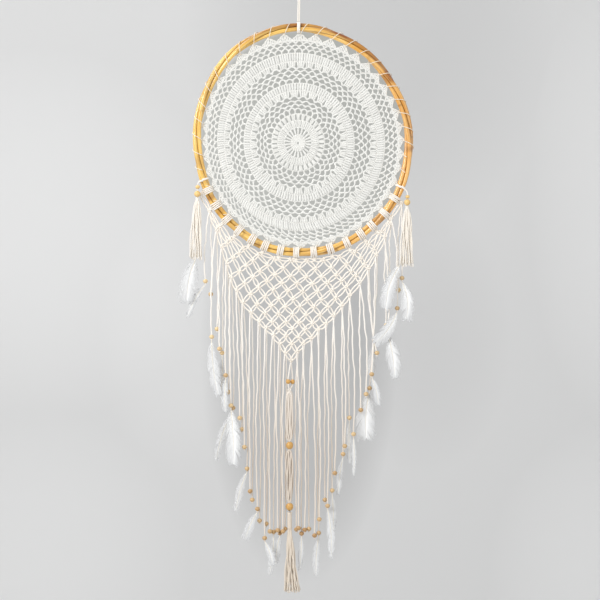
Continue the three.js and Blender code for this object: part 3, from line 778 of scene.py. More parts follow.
@dataclass(frozen=True)
class HoopPlan:
    """The hoop's line in the plane y = 0, in mm: an ellipse, and how far the bent canes stand
    outside it, which is an even part plus sines and cosines of one, two and three turns."""

    x: float = 9.0
    z: float = -305.5
    half_width: float = 202.0
    half_height: float = 214.5
    even: float = 1.8
    sines: tuple[float, ...] = (-3.0, -2.3, -1.8)
    cosines: tuple[float, ...] = (0.0, 0.0, 0.75)

    @property
    def degrees_per_mm(self) -> float:
        """How far a millimetre of the line turns, in degrees."""
        return 360 / (math.pi * (self.half_width + self.half_height))

    def centre(self, turn: Array | float) -> Array:
        """The line's place: the ellipse's, plus its normal times how far the canes stand out.

        Args:
            turn: Degrees clockwise from the top.

        Returns:
            The place or places.
        """
        angle = np.radians(turn)
        waves = [
            s * np.sin(n * angle) + c * np.cos(n * angle)
            for n, (s, c) in enumerate(zip(self.sines, self.cosines), 1)]
        normal = unit(np.stack([
            self.half_height * np.sin(angle), 0 * angle, self.half_width * np.cos(angle)], -1))
        ellipse = np.stack([
            self.x + self.half_width * np.sin(angle), 0 * angle,
            self.z + self.half_height * np.cos(angle)], -1)
        return ellipse + normal * (self.even + sum(waves))[..., None]

    def outward(self, turn: Array | float) -> Array:
        """The direction out of the hoop, square to the line from half a degree either side."""
        way = self.centre(turn + 0.5) - self.centre(turn - 0.5)
        return unit(np.stack([-way[..., 2], 0 * way[..., 1], way[..., 0]], -1))

    def around(self, turn: Array | float, reach: Array | float, swing: Array | float) -> Array:
        """A place at a reach from the line, swung from the outer side over the back.

        Args:
            turn: Degrees clockwise from the top.
            reach: Distance from the line, in mm.
            swing: Radians: 0 is outside, half pi is behind, minus half pi in front.

        Returns:
            The place or places.
        """
        turn, reach, swing = np.broadcast_arrays(
            *(np.asarray(v, float) for v in (turn, reach, swing)))
        lift = np.zeros((*turn.shape, 3))
        lift[..., 1] = reach * np.sin(swing)
        return self.centre(turn) + self.outward(turn) * (reach * np.cos(swing))[..., None] + lift

    def nearest(self, places: Array) -> tuple[Array, Array]:
        """The line's nearest turns to some places, to a tenth of a degree.

        Args:
            places: The places, in mm.

        Returns:
            The turn in degrees and the distance in mm of each.
        """
        turn = np.arange(0, 360, 0.1)
        away = np.linalg.norm(places[:, None] - self.centre(turn), axis=2)
        return turn[away.argmin(1)], away.min(1)


HOOP = HoopPlan()


# The studio


@dataclass
class Studio:
    """The camera, the paper behind the piece and the soft lights. Lengths are in metres, but
    the camera's lens and sensor are in mm. A light has its name, place, turn in degrees, size
    and power."""

    eye: Place = (0.001925, -4.0, -0.61215)
    lens: float = 124.675
    sensor: float = 36.0
    far: float = 60.0
    floor: float = -3.0
    wall: float = 6.5
    wall_height: float = 9.0
    bend: float = 0.7
    bend_steps: int = 13
    reach: float = 24.0
    air: Colour = (0.88, 0.89, 0.9)
    air_strength: float = 0.8
    lights: tuple = (
        ("key", (-2.6, -3.0, 1.2), (62, 0, -40), 1.8, 122.0),
        ("fill", (3.2, -3.4, -0.4), (86, 0, 44), 2.4, 34.0),
        ("paper_light", (-2.0, 1.5, 3.2), (38, 0, -14), 3.0, 110.0),
    )

    def add_camera(self) -> None:
        """Stands the camera 4 m in front of the picture's middle, level with it."""
        camera = bpy.data.cameras.new("camera")
        camera.sensor_width = self.sensor
        camera.lens = self.lens
        camera.clip_end = self.far
        stand = bpy.data.objects.new("camera", camera)
        stand.location = self.eye
        stand.rotation_euler = (math.pi / 2, 0.0, 0.0)
        bpy.context.scene.collection.objects.link(stand)
        bpy.context.scene.camera = stand

    def add_paper(self) -> None:
        """Makes one sheet of paper: a level floor, a quarter round and an upright back. In the
        quarter round the depth grows with the sine of an angle and the height with one less
        its cosine."""
        angle = np.linspace(0, math.pi / 2, self.bend_steps)
        depth = np.concatenate([
            [-self.reach], self.wall + self.bend * (np.sin(angle) - 1), [self.wall]])
        height = np.concatenate([
            [0.0], self.bend * (1 - np.cos(angle)), [self.wall_height]]) + self.floor
        across = np.array([-self.reach, self.reach])
        points = np.stack(np.broadcast_arrays(across[:, None], depth, height), -1).reshape(-1, 3)
        count = len(depth)
        here = np.arange(count - 1)
        faces = np.stack([here, here + count, here + count + 1, here + 1], -1)
        mesh = bpy.data.meshes.new("paper")
        mesh.from_pydata(points.tolist(), [], faces.tolist())
        mesh.polygons.foreach_set("use_smooth", np.ones(len(faces), bool))
        mesh.materials.append(WallFinish().material())
        paper = bpy.data.objects.new("paper", mesh)
        bpy.context.scene.collection.objects.link(paper)

    def add_lights(self) -> None:
        """Lights the piece from the upper left, fills it from the right and brightens the air."""
        for name, place, turn, size, power in self.lights:
            light = bpy.data.lights.new(name, "AREA")
            light.size = size
            light.energy = power
            lamp = bpy.data.objects.new(name, light)
            lamp.location = place
            lamp.rotation_euler = tuple(math.radians(t) for t in turn)
            bpy.context.scene.collection.objects.link(lamp)
        world = bpy.data.worlds.new("air")
        world.use_nodes = True
        background = world.node_tree.nodes["Background"]
        background.inputs["Color"].default_value = (*self.air, 1)
        background.inputs["Strength"].default_value = self.air_strength
        bpy.context.scene.world = world
        bpy.context.scene.view_settings.view_transform = "Standard"


# The pieces


CORD = Section(1.42, 1.42)
RNG = np.random.default_rng(7)


def coil(turn: float, turns: int, width: float, reach: float, start: float = 0.0) -> Array:
    """A cord wound round the hoop: its swing grows evenly, and so does its way along the hoop.

    Args:
        turn: The middle of the coil, in degrees clockwise from the top.
        turns: How many times it goes round.
        width: The way from its first pass to its last, in mm.
        reach: Its distance from the hoop's line, in mm.
        start: The swing of its first end, in radians.

    Returns:
        The line's points.
    """
    share = np.linspace(0, 1, COIL_POINTS * turns)
    degrees = width * HOOP.degrees_per_mm
    return HOOP.around(turn + (share - 0.5) * degrees, reach, start + 2 * math.pi * turns * share)


def helix(top: Place, height: float, radius: float, turns: int, points: int) -> Array:
    """A thread wound down round an upright axis. At an angle it is out from the axis by the
    radius times the cosine and sine, and below the top by the height times the share wound.

    Args:
        top: The axis's upper end, in mm.
        height: The wound length.
        radius: The thread's distance from the axis.
        turns: How many times it goes round.
        points: The points in each turn.

    Returns:
        The line's points.
    """
    x, y, z = top
    angle = np.linspace(0, 2 * math.pi * turns, points * turns)
    return np.stack([
        x + radius * np.cos(angle), y + radius * np.sin(angle),
        z - height * angle / angle[-1]], -1)


def knot_lines(places: Array, size: Array | float, spin: Array, flat: float = 0.75) -> Array:
    """Trefoil knots that face the front. At an angle a a knot is across sin a + 2 sin 2a, up
    cos a - 2 cos 2a and through -3 f sin 3a, where f is how flat it is, each times a third of
    the size, and it is spun in its plane.

    Args:
        places: The middle of each knot, in mm.
        size: The reach of the knot's line, in mm.
        spin: Its turn in the picture's plane, in radians.
        flat: The share of the depth that is kept.

    Returns:
        Closed lines, one a knot.
    """
    a = np.linspace(0, 2 * math.pi, KNOT_POINTS, endpoint=False)
    across, up = np.sin(a) + 2 * np.sin(2 * a), np.cos(a) - 2 * np.cos(2 * a)
    size, spin = (np.broadcast_to(v, len(places))[:, None] for v in (size, spin))
    x = across * np.cos(spin) - up * np.sin(spin)
    z = across * np.sin(spin) + up * np.cos(spin)
    y = np.broadcast_to(-3 * flat * np.sin(3 * a), x.shape)
    return places[:, None] + np.stack([x, y, z], -1) * (size / 3)[..., None]


@dataclass
class Hanger:
    """The hanging cord, its wound collar and its wrap round the hoop. The route gives the
    cord's x and z in mm, and its length and diameter are in metres. The collar's top and
    height and the wrap's width along the hoop are in mm."""

    route: tuple[tuple[float, float], ...] = (
        (-2.45, -76.1), (-2.25, -70), (-2, -60), (-1.7, -48), (-1.45, -36), (-1.45, -27),
        (-2.1, -20), (-4.3, -14.5), (-5.6, -8.8), (-4.3, -3.6), (0, -1.25), (4.3, -3.6),
        (5.6, -8.8), (4.3, -14.5), (2.1, -20), (1.45, -27), (1.45, -36), (1.3, -48),
        (1, -60), (0.7, -70), (0.45, -76.1))
    length: float = 0.157
    diameter: float = 0.0025
    step: float = 0.8
    section: Section = Section(1.25, 1.25, 12, 3, 0.1, 9.0)
    collar_top: Place = (0.0, 0.0, -22.3)
    collar_height: float = 7.4
    collar_turns: int = 5
    collar_points: int = 24
    collar_reach: float = 4.25
    collar_thread: Section = Section(0.85, 0.85, 8)
    wrap_turn: float = -2.8
    wrap_passes: int = 3
    wrap_width: float = 5.0
    wrap_reach: float = 9.9

    def build(self, cotton: bpy.types.Material) -> None:
        """Args:
            cotton: The cord's finish.
        """
        winding = helix(
            self.collar_top, self.collar_height, self.collar_reach, self.collar_turns,
            self.collar_points)
        collar = made("collar", swept(winding, self.collar_thread, UP), cotton)
        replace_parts(collar, "hanging_knot")
        passes = coil(self.wrap_turn, self.wrap_passes, self.wrap_width, self.wrap_reach)
        wrap = made("hoop_top_wrap", swept(passes, CORD), cotton)
        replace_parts(wrap, "hanging_wrap")
        line = drawn([[x, 0, z] for x, z in self.route], self.step)
        cord = made("hanging_cord_twisted", swept(line, self.section), cotton)
        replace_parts(cord, "hanging_cord")


def nearest_way(turn: Array) -> Array:
    """Differences between turns, brought to between -180 and 180 degrees."""
    return (turn + 180) % 360 - 180


@dataclass
class Hoop:
    """Three canes, each a closed ring, twisted three times round each other. A cane swells and
    darkens at its joints, which stand further round on each cane. A patch is a dark stretch: its
    turn, its half length in degrees, its strength, and how much of it keeps to the hoop's outer
    edge."""

    canes: str = "abc"
    radius: float = 4.15
    offset: float = 4.7
    twists: int = 3
    steps: int = 400
    sides: int = 14
    uneven: float = 0.02
    uneven_waves: int = 7
    joints: tuple[float, ...] = (23.0, 71.0, 128.0, 187.0, 214.0, 268.0, 322.0)
    joint_shift: float = 17.0
    joint_half: float = 0.45
    joint_rise: float = 0.05
    joint_shade: float = 0.5
    seam_from: float = 0.27
    seam_width: float = 0.63
    seam_power: float = 1.3
    outer_from: float = 1.5
    patches: tuple[tuple[float, float, float, float], ...] = (
        (15, 14, 0.85, 1.0), (43, 16, 0.6, 1.0), (40, 22, 0.1, 0.0), (340, 17, 0.7, 1.0),
        (55, 3.5, 0.75, 0.3), (80, 16, 0.3, 0.5), (94.5, 1.2, 0.5, 0.2), (135, 3.5, 0.5, 0.2),
        (180, 9, 0.3, 0.4), (222, 5, 0.35, 0.4), (259, 3, 0.35, 0.3), (298, 8, 0.25, 0.5),
        (240, 1.6, 0.7, 0.2), (231, 1.4, 0.6, 0.2), (205, 1.6, 0.4, 0.2), (167, 2, 0.4, 0.2),
        (356, 5, 0.6, 0.6))

    def cane(self, number: int) -> Shell:
        """One cane, with darker patches and painted shade at its seam, where it faces the other
        canes. With d the way from a joint over its half length, the joint is exp(-d squared). The
        painted seam shade grows with the cosine between a point's way out of the cane and the way
        to the bundle's middle. A patch is its strength times exp(-d to the fourth power).

        Args:
            number: Which cane, from 0.

        Returns:
            The cane.
        """
        turn = np.linspace(0, 360, self.steps, endpoint=False)
        middle = HOOP.centre(turn)
        swing = 2 * math.pi * (number / len(self.canes) + self.twists * turn / 360)
        line = HOOP.around(turn, self.offset, swing)
        joints = np.array(self.joints)[:, None] + self.joint_shift * number
        joint = np.exp(-(nearest_way(joints - turn) / self.joint_half) ** 2).sum(0)
        slow = self.uneven * np.sin(np.radians(turn) * self.uneven_waves + number)
        section = Section(self.radius, self.radius, self.sides)
        shell = swept(line, section, closed=True, taper=1 + slow + self.joint_rise * joint)
        rings = shell.points.reshape(self.steps, self.sides, 3)
        # Painted shade at the seam, where the cane faces the bundle's middle and the other canes
        facing = unit(rings - line[:, None])
        inward = unit(middle - line)[:, None]
        seam = (np.sum(facing * inward, -1) - self.seam_from) / self.seam_width
        seam = np.clip(seam, 0, 1) ** self.seam_power
        shell.shade = np.clip(seam + self.joint_shade * joint[:, None], 0, 1).reshape(-1)
        outer = np.sum((rings - middle[:, None]) * HOOP.outward(turn)[:, None], -1)
        outer = np.clip((outer + self.outer_from) / self.radius, 0, 1)
        tone = np.zeros_like(outer)
        for place, half, strength, edge in self.patches:
            patch = strength * np.exp(-((nearest_way(turn - place) / half) ** 4))
            tone += patch[:, None] * (1 - edge + edge * outer)
        shell.tone = np.clip(tone, 0, 1).reshape(-1)
        return shell

    def build(self, rattan: bpy.types.Material) -> None:
        """Makes each cane.

        Args:
            rattan: The finish.
        """
        for number, letter in enumerate(self.canes):
            cane = made(f"rattan_{letter}", self.cane(number), rattan)
            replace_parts(cane, f"cane_{letter}")


@dataclass(frozen=True)
class Posts:
    """A round of upright stitches: the shares of the way out of their feet and heads, how many
    groups go round and stitches each has, a stitch's width in mm and the group's share of its
    room, both at foot and head, and the first group's turn in degrees."""

    feet: float
    heads: float
    groups: int
    each: int = 1
    width: tuple[float, float] = (3.4, 3.5)
    gather: tuple[float, float] = (1.0, 1.0)
    first: float = 0.0


@dataclass(frozen=True)
class Arches:
    """Rows of arches: how many go round and how many rows there are, the share of the way out
    of the first row's feet, the step between rows, and the turn of a hole in the last row."""

    count: int
    rows: int
    feet: float
    step: float
    hole: float


@dataclass
class Doily:
    """A crocheted round of rings, posts and arches. A place on it is a share of the way from
    its eye to its tips and a turn in degrees. The round at a share has its middle a little up
    and right of the eye, and its radius is the share times the whole radius plus waves: tall
    times cos 2a, slant times sin 2a and three-cornered times sin 3a. The outer rounds drift by
    up to the drift times (1 - cos a). The stitches are uneven by so many mm."""

    eye: tuple[float, float] = (-0.8, -310.5)
    radius: float = 201.3
    tips: int = 42
    first_tip: float = -1.2
    drift: float = 3.5
    drift_from: float = 0.75
    inset: float = 9.3
    valley: float = 0.95
    base: float = 0.936
    unevenness: float = 0.7
    flat: tuple[float, float] = (0.381, 0.406)
    area: float = 0.1214
    # Share, then up, right, tall, slant and three-cornered in mm
    rounds: tuple[tuple[float, ...], ...] = (
        (0.00, 0.2, -0.8, 0.4, 0.0, 0.0), (0.13, 1.0, -0.7, 1.7, 0.1, 0.1),
        (0.27, 1.3, -0.6, 2.2, 0.0, 0.0), (0.42, 1.4, 0.5, 3.2, -0.7, 0.0),
        (0.55, 1.7, 1.2, 4.0, -0.6, 0.0), (0.69, 1.8, 2.6, 4.1, -0.9, -0.8),
        (0.75, 2.0, 3.2, 4.2, -0.9, -0.9), (0.83, 2.5, 3.8, 5.2, -1.8, -1.4),
        (0.93, 2.6, 6.2, 4.6, -2.6, -1.4), (1.00, 4.9, 7.2, 6.0, -1.9, -1.1))
    # Share, width in mm and raised stitches, none for a plain round
    rings: tuple[tuple[float, float, int], ...] = (
        (0.020, 3.8, 0), (0.037, 4.0, 11), (0.055, 4.0, 22), (0.071, 3.2, 22),
        (0.139, 2.6, 30), (0.205, 2.4, 33), (0.264, 2.2, 99), (0.481, 2.6, 66), (0.547, 2.0, 132),
        (0.752, 2.6, 110), (0.824, 2.0, 220), (0.943, 3.0, 84))
    ring_half: float = 0.8
    ring_swell: float = 0.22
    plain_points: int = 40
    posts: tuple[Posts, ...] = (
        Posts(0.022, 0.078, 22, 1, (2.0, 3.4)), Posts(0.075, 0.14, 22, 1, (2.9, 4.1)),
        Posts(0.136, 0.207, 60, 1, (2.7, 4.2)),
        Posts(0.205, 0.266, 33, 3, (2.1, 3.1), (0.56, 0.72), -0.15),
        Posts(0.258, 0.3, 33, 1, (2.6, 3.6), (1.0, 1.0), 5.4),
        Posts(0.424, 0.481, 33, 4, (3.1, 4.2), (0.70, 1.0), 5.6),
        Posts(0.481, 0.549, 132, 1, (4.1, 4.4), (1.0, 1.0), 6.96),
        Posts(0.545, 0.578, 55, 1, (2.8, 3.4), (1.0, 1.0), 0.6),
        Posts(0.699, 0.752, 55, 4, (2.9, 3.9), (0.72, 1.0), 0.5),
        Posts(0.752, 0.827, 220, 1, (3.9, 4.1), (1.0, 1.0), 1.32),
        Posts(0.822, 0.85, 84, 1, (2.8, 3.4), (1.0, 1.0), 0.94))
    post_points: int = 5
    post_half: float = 0.85
    post_bow: float = 0.25
    post_swell: float = 0.06
    post_scatter: Place = (1.0, 0.6, 1.0)
    arches: tuple[Arches, ...] = (
        Arches(33, 4, 0.297, 0.0357, 5.4), Arches(55, 4, 0.575, 0.0355, 0.6),
        Arches(84, 3, 0.8464, 0.0345, -1.2))
    arch_points: int = 8
    arch_rise: float = 0.6
    arch_power: float = 0.9
    arch_bow: float = 0.35
    arch_scatter: float = 1.6
    arch_swell: tuple[float, float] = (0.32, 0.16)
    arch_thread: Section = Section(1.6, 0.85)
    tip_posts: int = 9
    tip_slope: float = 1.1
    tip_swell: float = 0.16
    tip_scatter: Place = (1.8, 1.26, 1.8)
    tip_thread: Section = Section(1.35, 0.9)
    edge_bumps: int = 5
    edge_swell: float = 0.3
    edge_thread: Section = Section(1.2, 0.95, 5)
    shells: list[Shell] = field(default_factory=list)

    def place(self, share: Array | float, turn: Array | float) -> Array:
        """A place on the doily.

        Args:
            share: The share of the way from the eye to the tips.
            turn: Degrees clockwise from the top, before the drift.

        Returns:
            The place, in mm.
        """
        share, turn = np.broadcast_arrays(np.asarray(share, float), np.asarray(turn, float))
        table = np.array(self.rounds).T
        up, right, tall, slant, three = (np.interp(share, table[0], row) for row in table[1:])
        part = np.clip((share - self.drift_from) / (1 - self.drift_from), 0, 1)
        part = part * part * (3 - 2 * part)
        a = np.radians(turn - self.drift * part * (1 - np.cos(np.radians(turn))))
        reach = (self.radius * share + tall * np.cos(2 * a) + slant * np.sin(2 * a)
                 + three * np.sin(3 * a))
        return np.stack([
            self.eye[0] + right + reach * np.sin(a), 0 * a,
            self.eye[1] + up + reach * np.cos(a)], -1)

    def tip_turns(self, index: Array) -> Array:
        """The tips' turns before the drift, from their numbers."""
        return self.first_tip + index * 360 / self.tips

    def tip_shares(self) -> Array:
        """The share of the way out of each tip, so that it stays clear of the canes."""
        _, away = HOOP.nearest(self.place(1.0, self.tip_turns(np.arange(self.tips))))
        return 1 - np.maximum(0, self.inset - away) / self.radius

    def scattered(self, *shape: int) -> Array:
        """Random numbers, half the unevenness either way from nought."""
        return self.unevenness * (RNG.random(shape) - 0.5)

    def add_ring(self, share: float, width: float, dots: int) -> None:
        """Adds a round of chain or of raised stitches, which swell with the cosine of the turn
        times their number.

        Args:
            share: Its share of the way out.
            width: Its width, in mm.
            dots: How many raised stitches it has, none for a plain round.
        """
        turn = np.linspace(0, 360, 4 * dots or self.plain_points, endpoint=False)
        taper = 1 + self.ring_swell * np.cos(np.radians(turn) * dots) if dots else 1.0
        self.shells.append(swept(
            self.place(share, turn), Section(width / 2, self.ring_half), closed=True,
            taper=taper, tone=0.3))

    def add_posts(self, plan: Posts) -> None:
        """Adds a round of upright stitches. A stitch's turn is its group's plus its place in
        the group times the share of the room that the group covers at that height.

        Args:
            plan: The round's sizes.
        """
        rise = np.linspace(0, 1, self.post_points)
        room = 360 / plan.groups
        middle = plan.first + np.arange(plan.groups) * room
        spot = (np.arange(plan.each) - (plan.each - 1) / 2) * room / plan.each
        gather = plan.gather[0] + (plan.gather[1] - plan.gather[0]) * rise
        turn = middle[:, None, None] + spot[:, None] * gather
        lines = self.place(plan.feet + (plan.heads - plan.feet) * rise + 0 * turn, turn)
        lines = lines.reshape(-1, len(rise), 3)
        lines += self.scattered(len(lines), 1, 3) * self.post_scatter
        lines[..., 1] += self.post_bow * np.sin(ONE_WAVE * rise)
        wider = 1 + (plan.width[1] / plan.width[0] - 1) * rise
        self.shells.append(swept(
            lines, Section(plan.width[0] / 2, self.post_half),
            taper=wider * (1 + self.post_swell * np.cos(TWO_WAVES * rise)),
            tone=RNG.random(len(lines))))

    def add_arches(self, plan: Arches) -> None:
        """Adds rows of arches, each row half an arch further round than the next. An arch's
        share is its feet's plus about 0.6 of the step times the sine of half a turn over it, to
        the power 0.9, and its thread is thickest at its feet.

        Args:
            plan: The rows' sizes.
        """
        steps = self.arch_points
        u = np.arange(plan.count * steps) / steps
        for row in range(plan.rows):
            feet = plan.feet + row * plan.step
            rise = self.arch_rise + 0.5 * self.scattered(plan.count)
            rise = np.repeat(rise, steps) * np.abs(np.sin(math.pi * u)) ** self.arch_power
            start = plan.hole + ((plan.rows - 1 - row) % 2) * 180 / plan.count
            line = self.place(feet + rise * plan.step, start + (u - 0.5) * 360 / plan.count)
            nudge = self.arch_scatter * self.scattered(plan.count + 1, 3)
            nudge[-1] = nudge[0]
            for axis in (0, 2):
                line[:, axis] += np.interp(u, np.arange(plan.count + 1), nudge[:, axis])
            wave = 2 * math.pi * u
            line[:, 1] = self.arch_bow * np.cos(wave)
            at_feet, between = self.arch_swell
            self.shells.append(swept(
                line, self.arch_thread, closed=True,
                taper=1 + at_feet * np.cos(wave) + between * np.cos(2 * wave),
                tone=np.repeat(RNG.random((1, plan.count)), steps, 1)))

    def add_tips(self) -> None:
        """Adds the solid points, as uneven posts under a zigzag edge of small bumps. Both reach
        from a point's tip to the valleys beside it in straight lines."""
        tips = self.tip_shares()
        valleys = self.valley - self.tip_slope * (1 - tips)
        u = (np.arange(self.tip_posts) + 0.5) / self.tip_posts
        reach = tips[:, None] + (valleys - tips)[:, None] * np.abs(2 * u - 1)
        turn = self.tip_turns(np.arange(self.tips)[:, None] + u - 0.5)
        rise = np.linspace(0, 1, self.post_points)
        share = self.base + (reach[..., None] - self.base) * rise
        lines = self.place(share, turn[..., None] + 0 * share).reshape(-1, len(rise), 3)
        lines += self.scattered(len(lines), len(rise), 3) * self.tip_scatter
        self.shells.append(swept(
            lines, self.tip_thread, taper=1 + self.tip_swell * np.cos(TWO_WAVES * rise),
            tone=0.35 * RNG.random(len(lines))))
        each = 4 * self.edge_bumps
        place = np.arange(self.tips * each) / each
        away = 2 * np.abs(place - np.round(place))
        near = np.round(place).astype(int) % self.tips
        line = self.place(tips[near] + (valleys - tips)[near] * away, self.tip_turns(place))
        line[::2] += self.scattered(len(line) // 2, 3)
        bumps = np.cos(2 * math.pi * self.edge_bumps * place)
        self.shells.append(swept(
            line, self.edge_thread, closed=True, taper=1 + self.edge_swell * bumps))

    def build(self, cotton: bpy.types.Material, rests_on: list[str]) -> None:
        """Args:
            cotton: The finish.
            rests_on: The pieces that it is stretched in; not used.
        """
        for share, width, dots in self.rings:
            self.add_ring(share, width, dots)
        for plan in self.posts:
            self.add_posts(plan)
        for plan in self.arches:
            self.add_arches(plan)
        self.add_tips()
        cloth = made("crochet", joined(self.shells), cotton)
        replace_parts(cloth, "doily")


@dataclass
class Lacing:
    """Thread that passes round the hoop once for each point of the doily, and small ties where
    the net's heads leave no room for it. Runs and ties are counted in points from the top. The
    thread's reach grows inside the hoop."""

    doily: Doily
    section: Section = Section(0.68, 0.68)
    reach: float = 9.2
    inner_reach: float = 2.6
    runs: tuple = ((Side.LEFT, -11.8, -0.6), (Side.RIGHT, -0.1, 12.2))
    run_points: int = 30
    ties: tuple[int, int] = (13, 30)
    tie_half: float = 0.24
    tie_points: int = 15

    def line(self, place: Array) -> Array:
        """The thread's line. It is inside the hoop at each point of the doily, and its reach
        grows there by the inner reach times the cube of how far inside it is.

        Args:
            place: The place in points, where a whole number is a point of the doily.

        Returns:
            The line's points.
        """
        index = np.arange(-self.doily.tips, 2 * self.doily.tips)
        turns, _ = HOOP.nearest(self.doily.place(1.0, self.doily.tip_turns(index)))
        turns = np.degrees(np.unwrap(np.radians(turns)))
        swing = math.pi * (1 + 2 * place)
        reach = self.reach + self.inner_reach * np.maximum(0, -np.cos(swing)) ** 3
        return HOOP.around(np.interp(place, index, turns), reach, swing)

    def build(self, cotton: bpy.types.Material) -> None:
        """Winds both runs, and ties the lower points.

        Args:
            cotton: The thread's finish.
        """
        tie = np.linspace(-self.tie_half, self.tie_half, self.tie_points)
        for side, first, last in self.runs:
            run = np.linspace(first, last, round((last - first) * self.run_points))
            places = [run] + [
                k + tie for k in range(*self.ties)
                if (k < self.doily.tips / 2) == (side is Side.RIGHT)]
            shells = [swept(self.line(place), self.section) for place in places]
            thread = made(f"lacing_thread_{side.value}", joined(shells), cotton)
            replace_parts(thread, f"lacing_{side.value}")


@dataclass
class Net:
    """The knotted net: fifteen heads on the hoop, and a knot wherever two pairs of cords cross.
    Its edges are the left and right end of each row below the hoop, in mm. A head is four
    passes round the hoop, at their ways along it in mm, over two small knots at their reach."""

    first_turn: float = 245.7
    last_turn: float = 119.4
    head_turns: tuple[float, ...] = (
        243.8, 235.0, 226.0, 217.5, 208.9, 201.3, 192.7, 184.1, 174.6, 165.4, 155.9, 147.0,
        139.6, 130.4, 121.0)
    passes: tuple[float, ...] = (-4.7, -1.75, 1.5, 4.6)
    pass_spread: tuple[float, float] = (0.88, 0.28)
    pass_shift: float = 0.4
    pass_lean: float = 0.9
    pass_points: int = 24
    pass_reach: float = 9.9
    pass_bulge: float = 0.5
    head_knots: tuple[float, ...] = (12.4, 16.2)
    head_knot: float = 2.6
    root_reach: float = 16.5
    sag: float = 112.6
    sag_rows: float = 9.0
    sag_power: float = 2.5
    spread_rows: float = 6.0
    knot: float = 3.4
    knot_sizes: tuple[float, float] = (0.92, 0.16)
    depth: float = 0.9
    pair_step: float = 0.1
    cord_step: float = 2.0
    pair_half: float = 1.0
    pair_part: float = 2.1
    pair_depth: float = 0.25
    wander: float = 0.55
    wander_rate: float = 4.4
    edges: tuple = (
        ((-171.7, -440.1), (177.5, -452.4)), ((-158.4, -476.8), (165.6, -489.9)),
        ((-148.2, -509.4), (148.8, -525.1)), ((-138.6, -540.9), (133.8, -550.6)),
        ((-130.9, -567.9), (117.4, -577.5)), ((-119.9, -592.9), (97.6, -603.1)),
        ((-108.2, -616.4), (83.0, -622.2)), ((-92.4, -635.4), (66.8, -641.4)),
        ((-77.0, -652.4), (52.0, -657.6)), ((-63.9, -666.1), (37.3, -669.3)),
        ((-49.5, -679.1), (24.1, -685.5)), ((-37.2, -696.1), (8.7, -696.1)),
        ((-26.0, -712.8), (-3.5, -712.1)), ((-15.4, -728.6), (-15.4, -728.6)))

    @property
    def heads(self) -> int:
        """How many heads there are."""
        return len(self.head_turns)

    def even_turn(self, share: float) -> float:
        """A turn at a share of the way from the first head to the last, in degrees."""
        return self.first_turn + (self.last_turn - self.first_turn) * share

    def node(self, row: int, index: int) -> Array:
        """A knot's place. Row 0 is on the hoop. Lower rows lie between their ends, and sag
        below the straight line between them by the sag times (1 - row / 9) squared times
        (1 - |2f - 1| to the power 2.5), where f is the share of the way across.

        Args:
            row: The row, from 0 to 14.
            index: The knot in its row, from the left.

        Returns:
            The place, in mm.
        """
        if row == 0:
            return HOOP.around(self.head_turns[index], self.root_reach, 0.0)
        left, right = self.edges[row - 1]
        last = self.heads - 1 - row
        even = index / last if last else 0.0
        sine = [math.sin(math.radians(self.even_turn(f))) for f in (even, 0, 1)]
        arched = (sine[0] - sine[1]) / (sine[2] - sine[1])
        spread = arched + (even - arched) * min(1, row / self.spread_rows)
        sag = self.sag * max(0, 1 - row / self.sag_rows) ** 2
        sag *= 1 - abs(2 * even - 1) ** self.sag_power
        x = left[0] + (right[0] - left[0]) * spread
        return np.array([x, 0.0, left[1] + (right[1] - left[1]) * even - sag])

    def pair(self, nodes: Array, depth: float) -> list[Array]:
        """Two cords side by side. Between two knots they part by the sine of half a turn, and
        each wanders a little with a sine of its own.

        Args:
            nodes: The knots they pass, in order.
            depth: How far they lie from the net's plane at a knot, in mm.

        Returns:
            The two lines.
        """
        share = np.arange(0, len(nodes) - 1 + TINY, self.pair_step)
        base = np.minimum(share.astype(int), len(nodes) - 2)
        part = (share - base)[:, None]
        line = nodes[base] + (nodes[base + 1] - nodes[base]) * part
        across = np.cross(unit(nodes[base + 1] - nodes[base]), FRONT_TO_BACK)
        swell = np.sin(math.pi * part)
        lines = []
        for sign in (-1, 1):
            phase = RNG.random() * 6 + self.wander_rate * share[:, None]
            aside = sign * (self.pair_half + self.pair_part * swell) + self.wander * np.sin(phase)
            path = line + across * aside
            path[:, 1] += depth * (1 - swell[:, 0]) + self.pair_depth * sign
            lines.append(drawn(path, self.cord_step))
        return lines

    def head_shells(self) -> list[Shell]:
        """Two doubled cords on the hoop at each head, each pass a ring round the bundle that
        leans with the cosine of its swing, with two small knots below them.

        Returns:
            Each pass, and the knots in one shell.
        """
        shells, places = [], []
        swing = np.linspace(0, 2 * math.pi, self.pass_points, endpoint=False)
        reach = self.pass_reach + self.pass_bulge * np.maximum(0, -np.cos(swing))
        for turn in self.head_turns:
            wide = self.pass_spread[0] + self.pass_spread[1] * RNG.random()
            for spot in self.passes:
                lean = self.pass_lean * (RNG.random() - 0.5)
                along = spot * wide + self.pass_shift * (RNG.random() - 0.5)
                shift = HOOP.degrees_per_mm * (along + lean * np.cos(swing))
                ring = HOOP.around(turn + shift, reach, swing)
                shells.append(swept(ring, CORD, closed=True, tone=0.25 * RNG.random()))
            places += [HOOP.around(turn, below, 0.0) for below in self.head_knots]
        lines = knot_lines(np.array(places), self.head_knot, RNG.random(len(places)) * 2)
        return [*shells, swept(lines, CORD, closed=True, tone=RNG.random(len(lines)) * 0.3)]

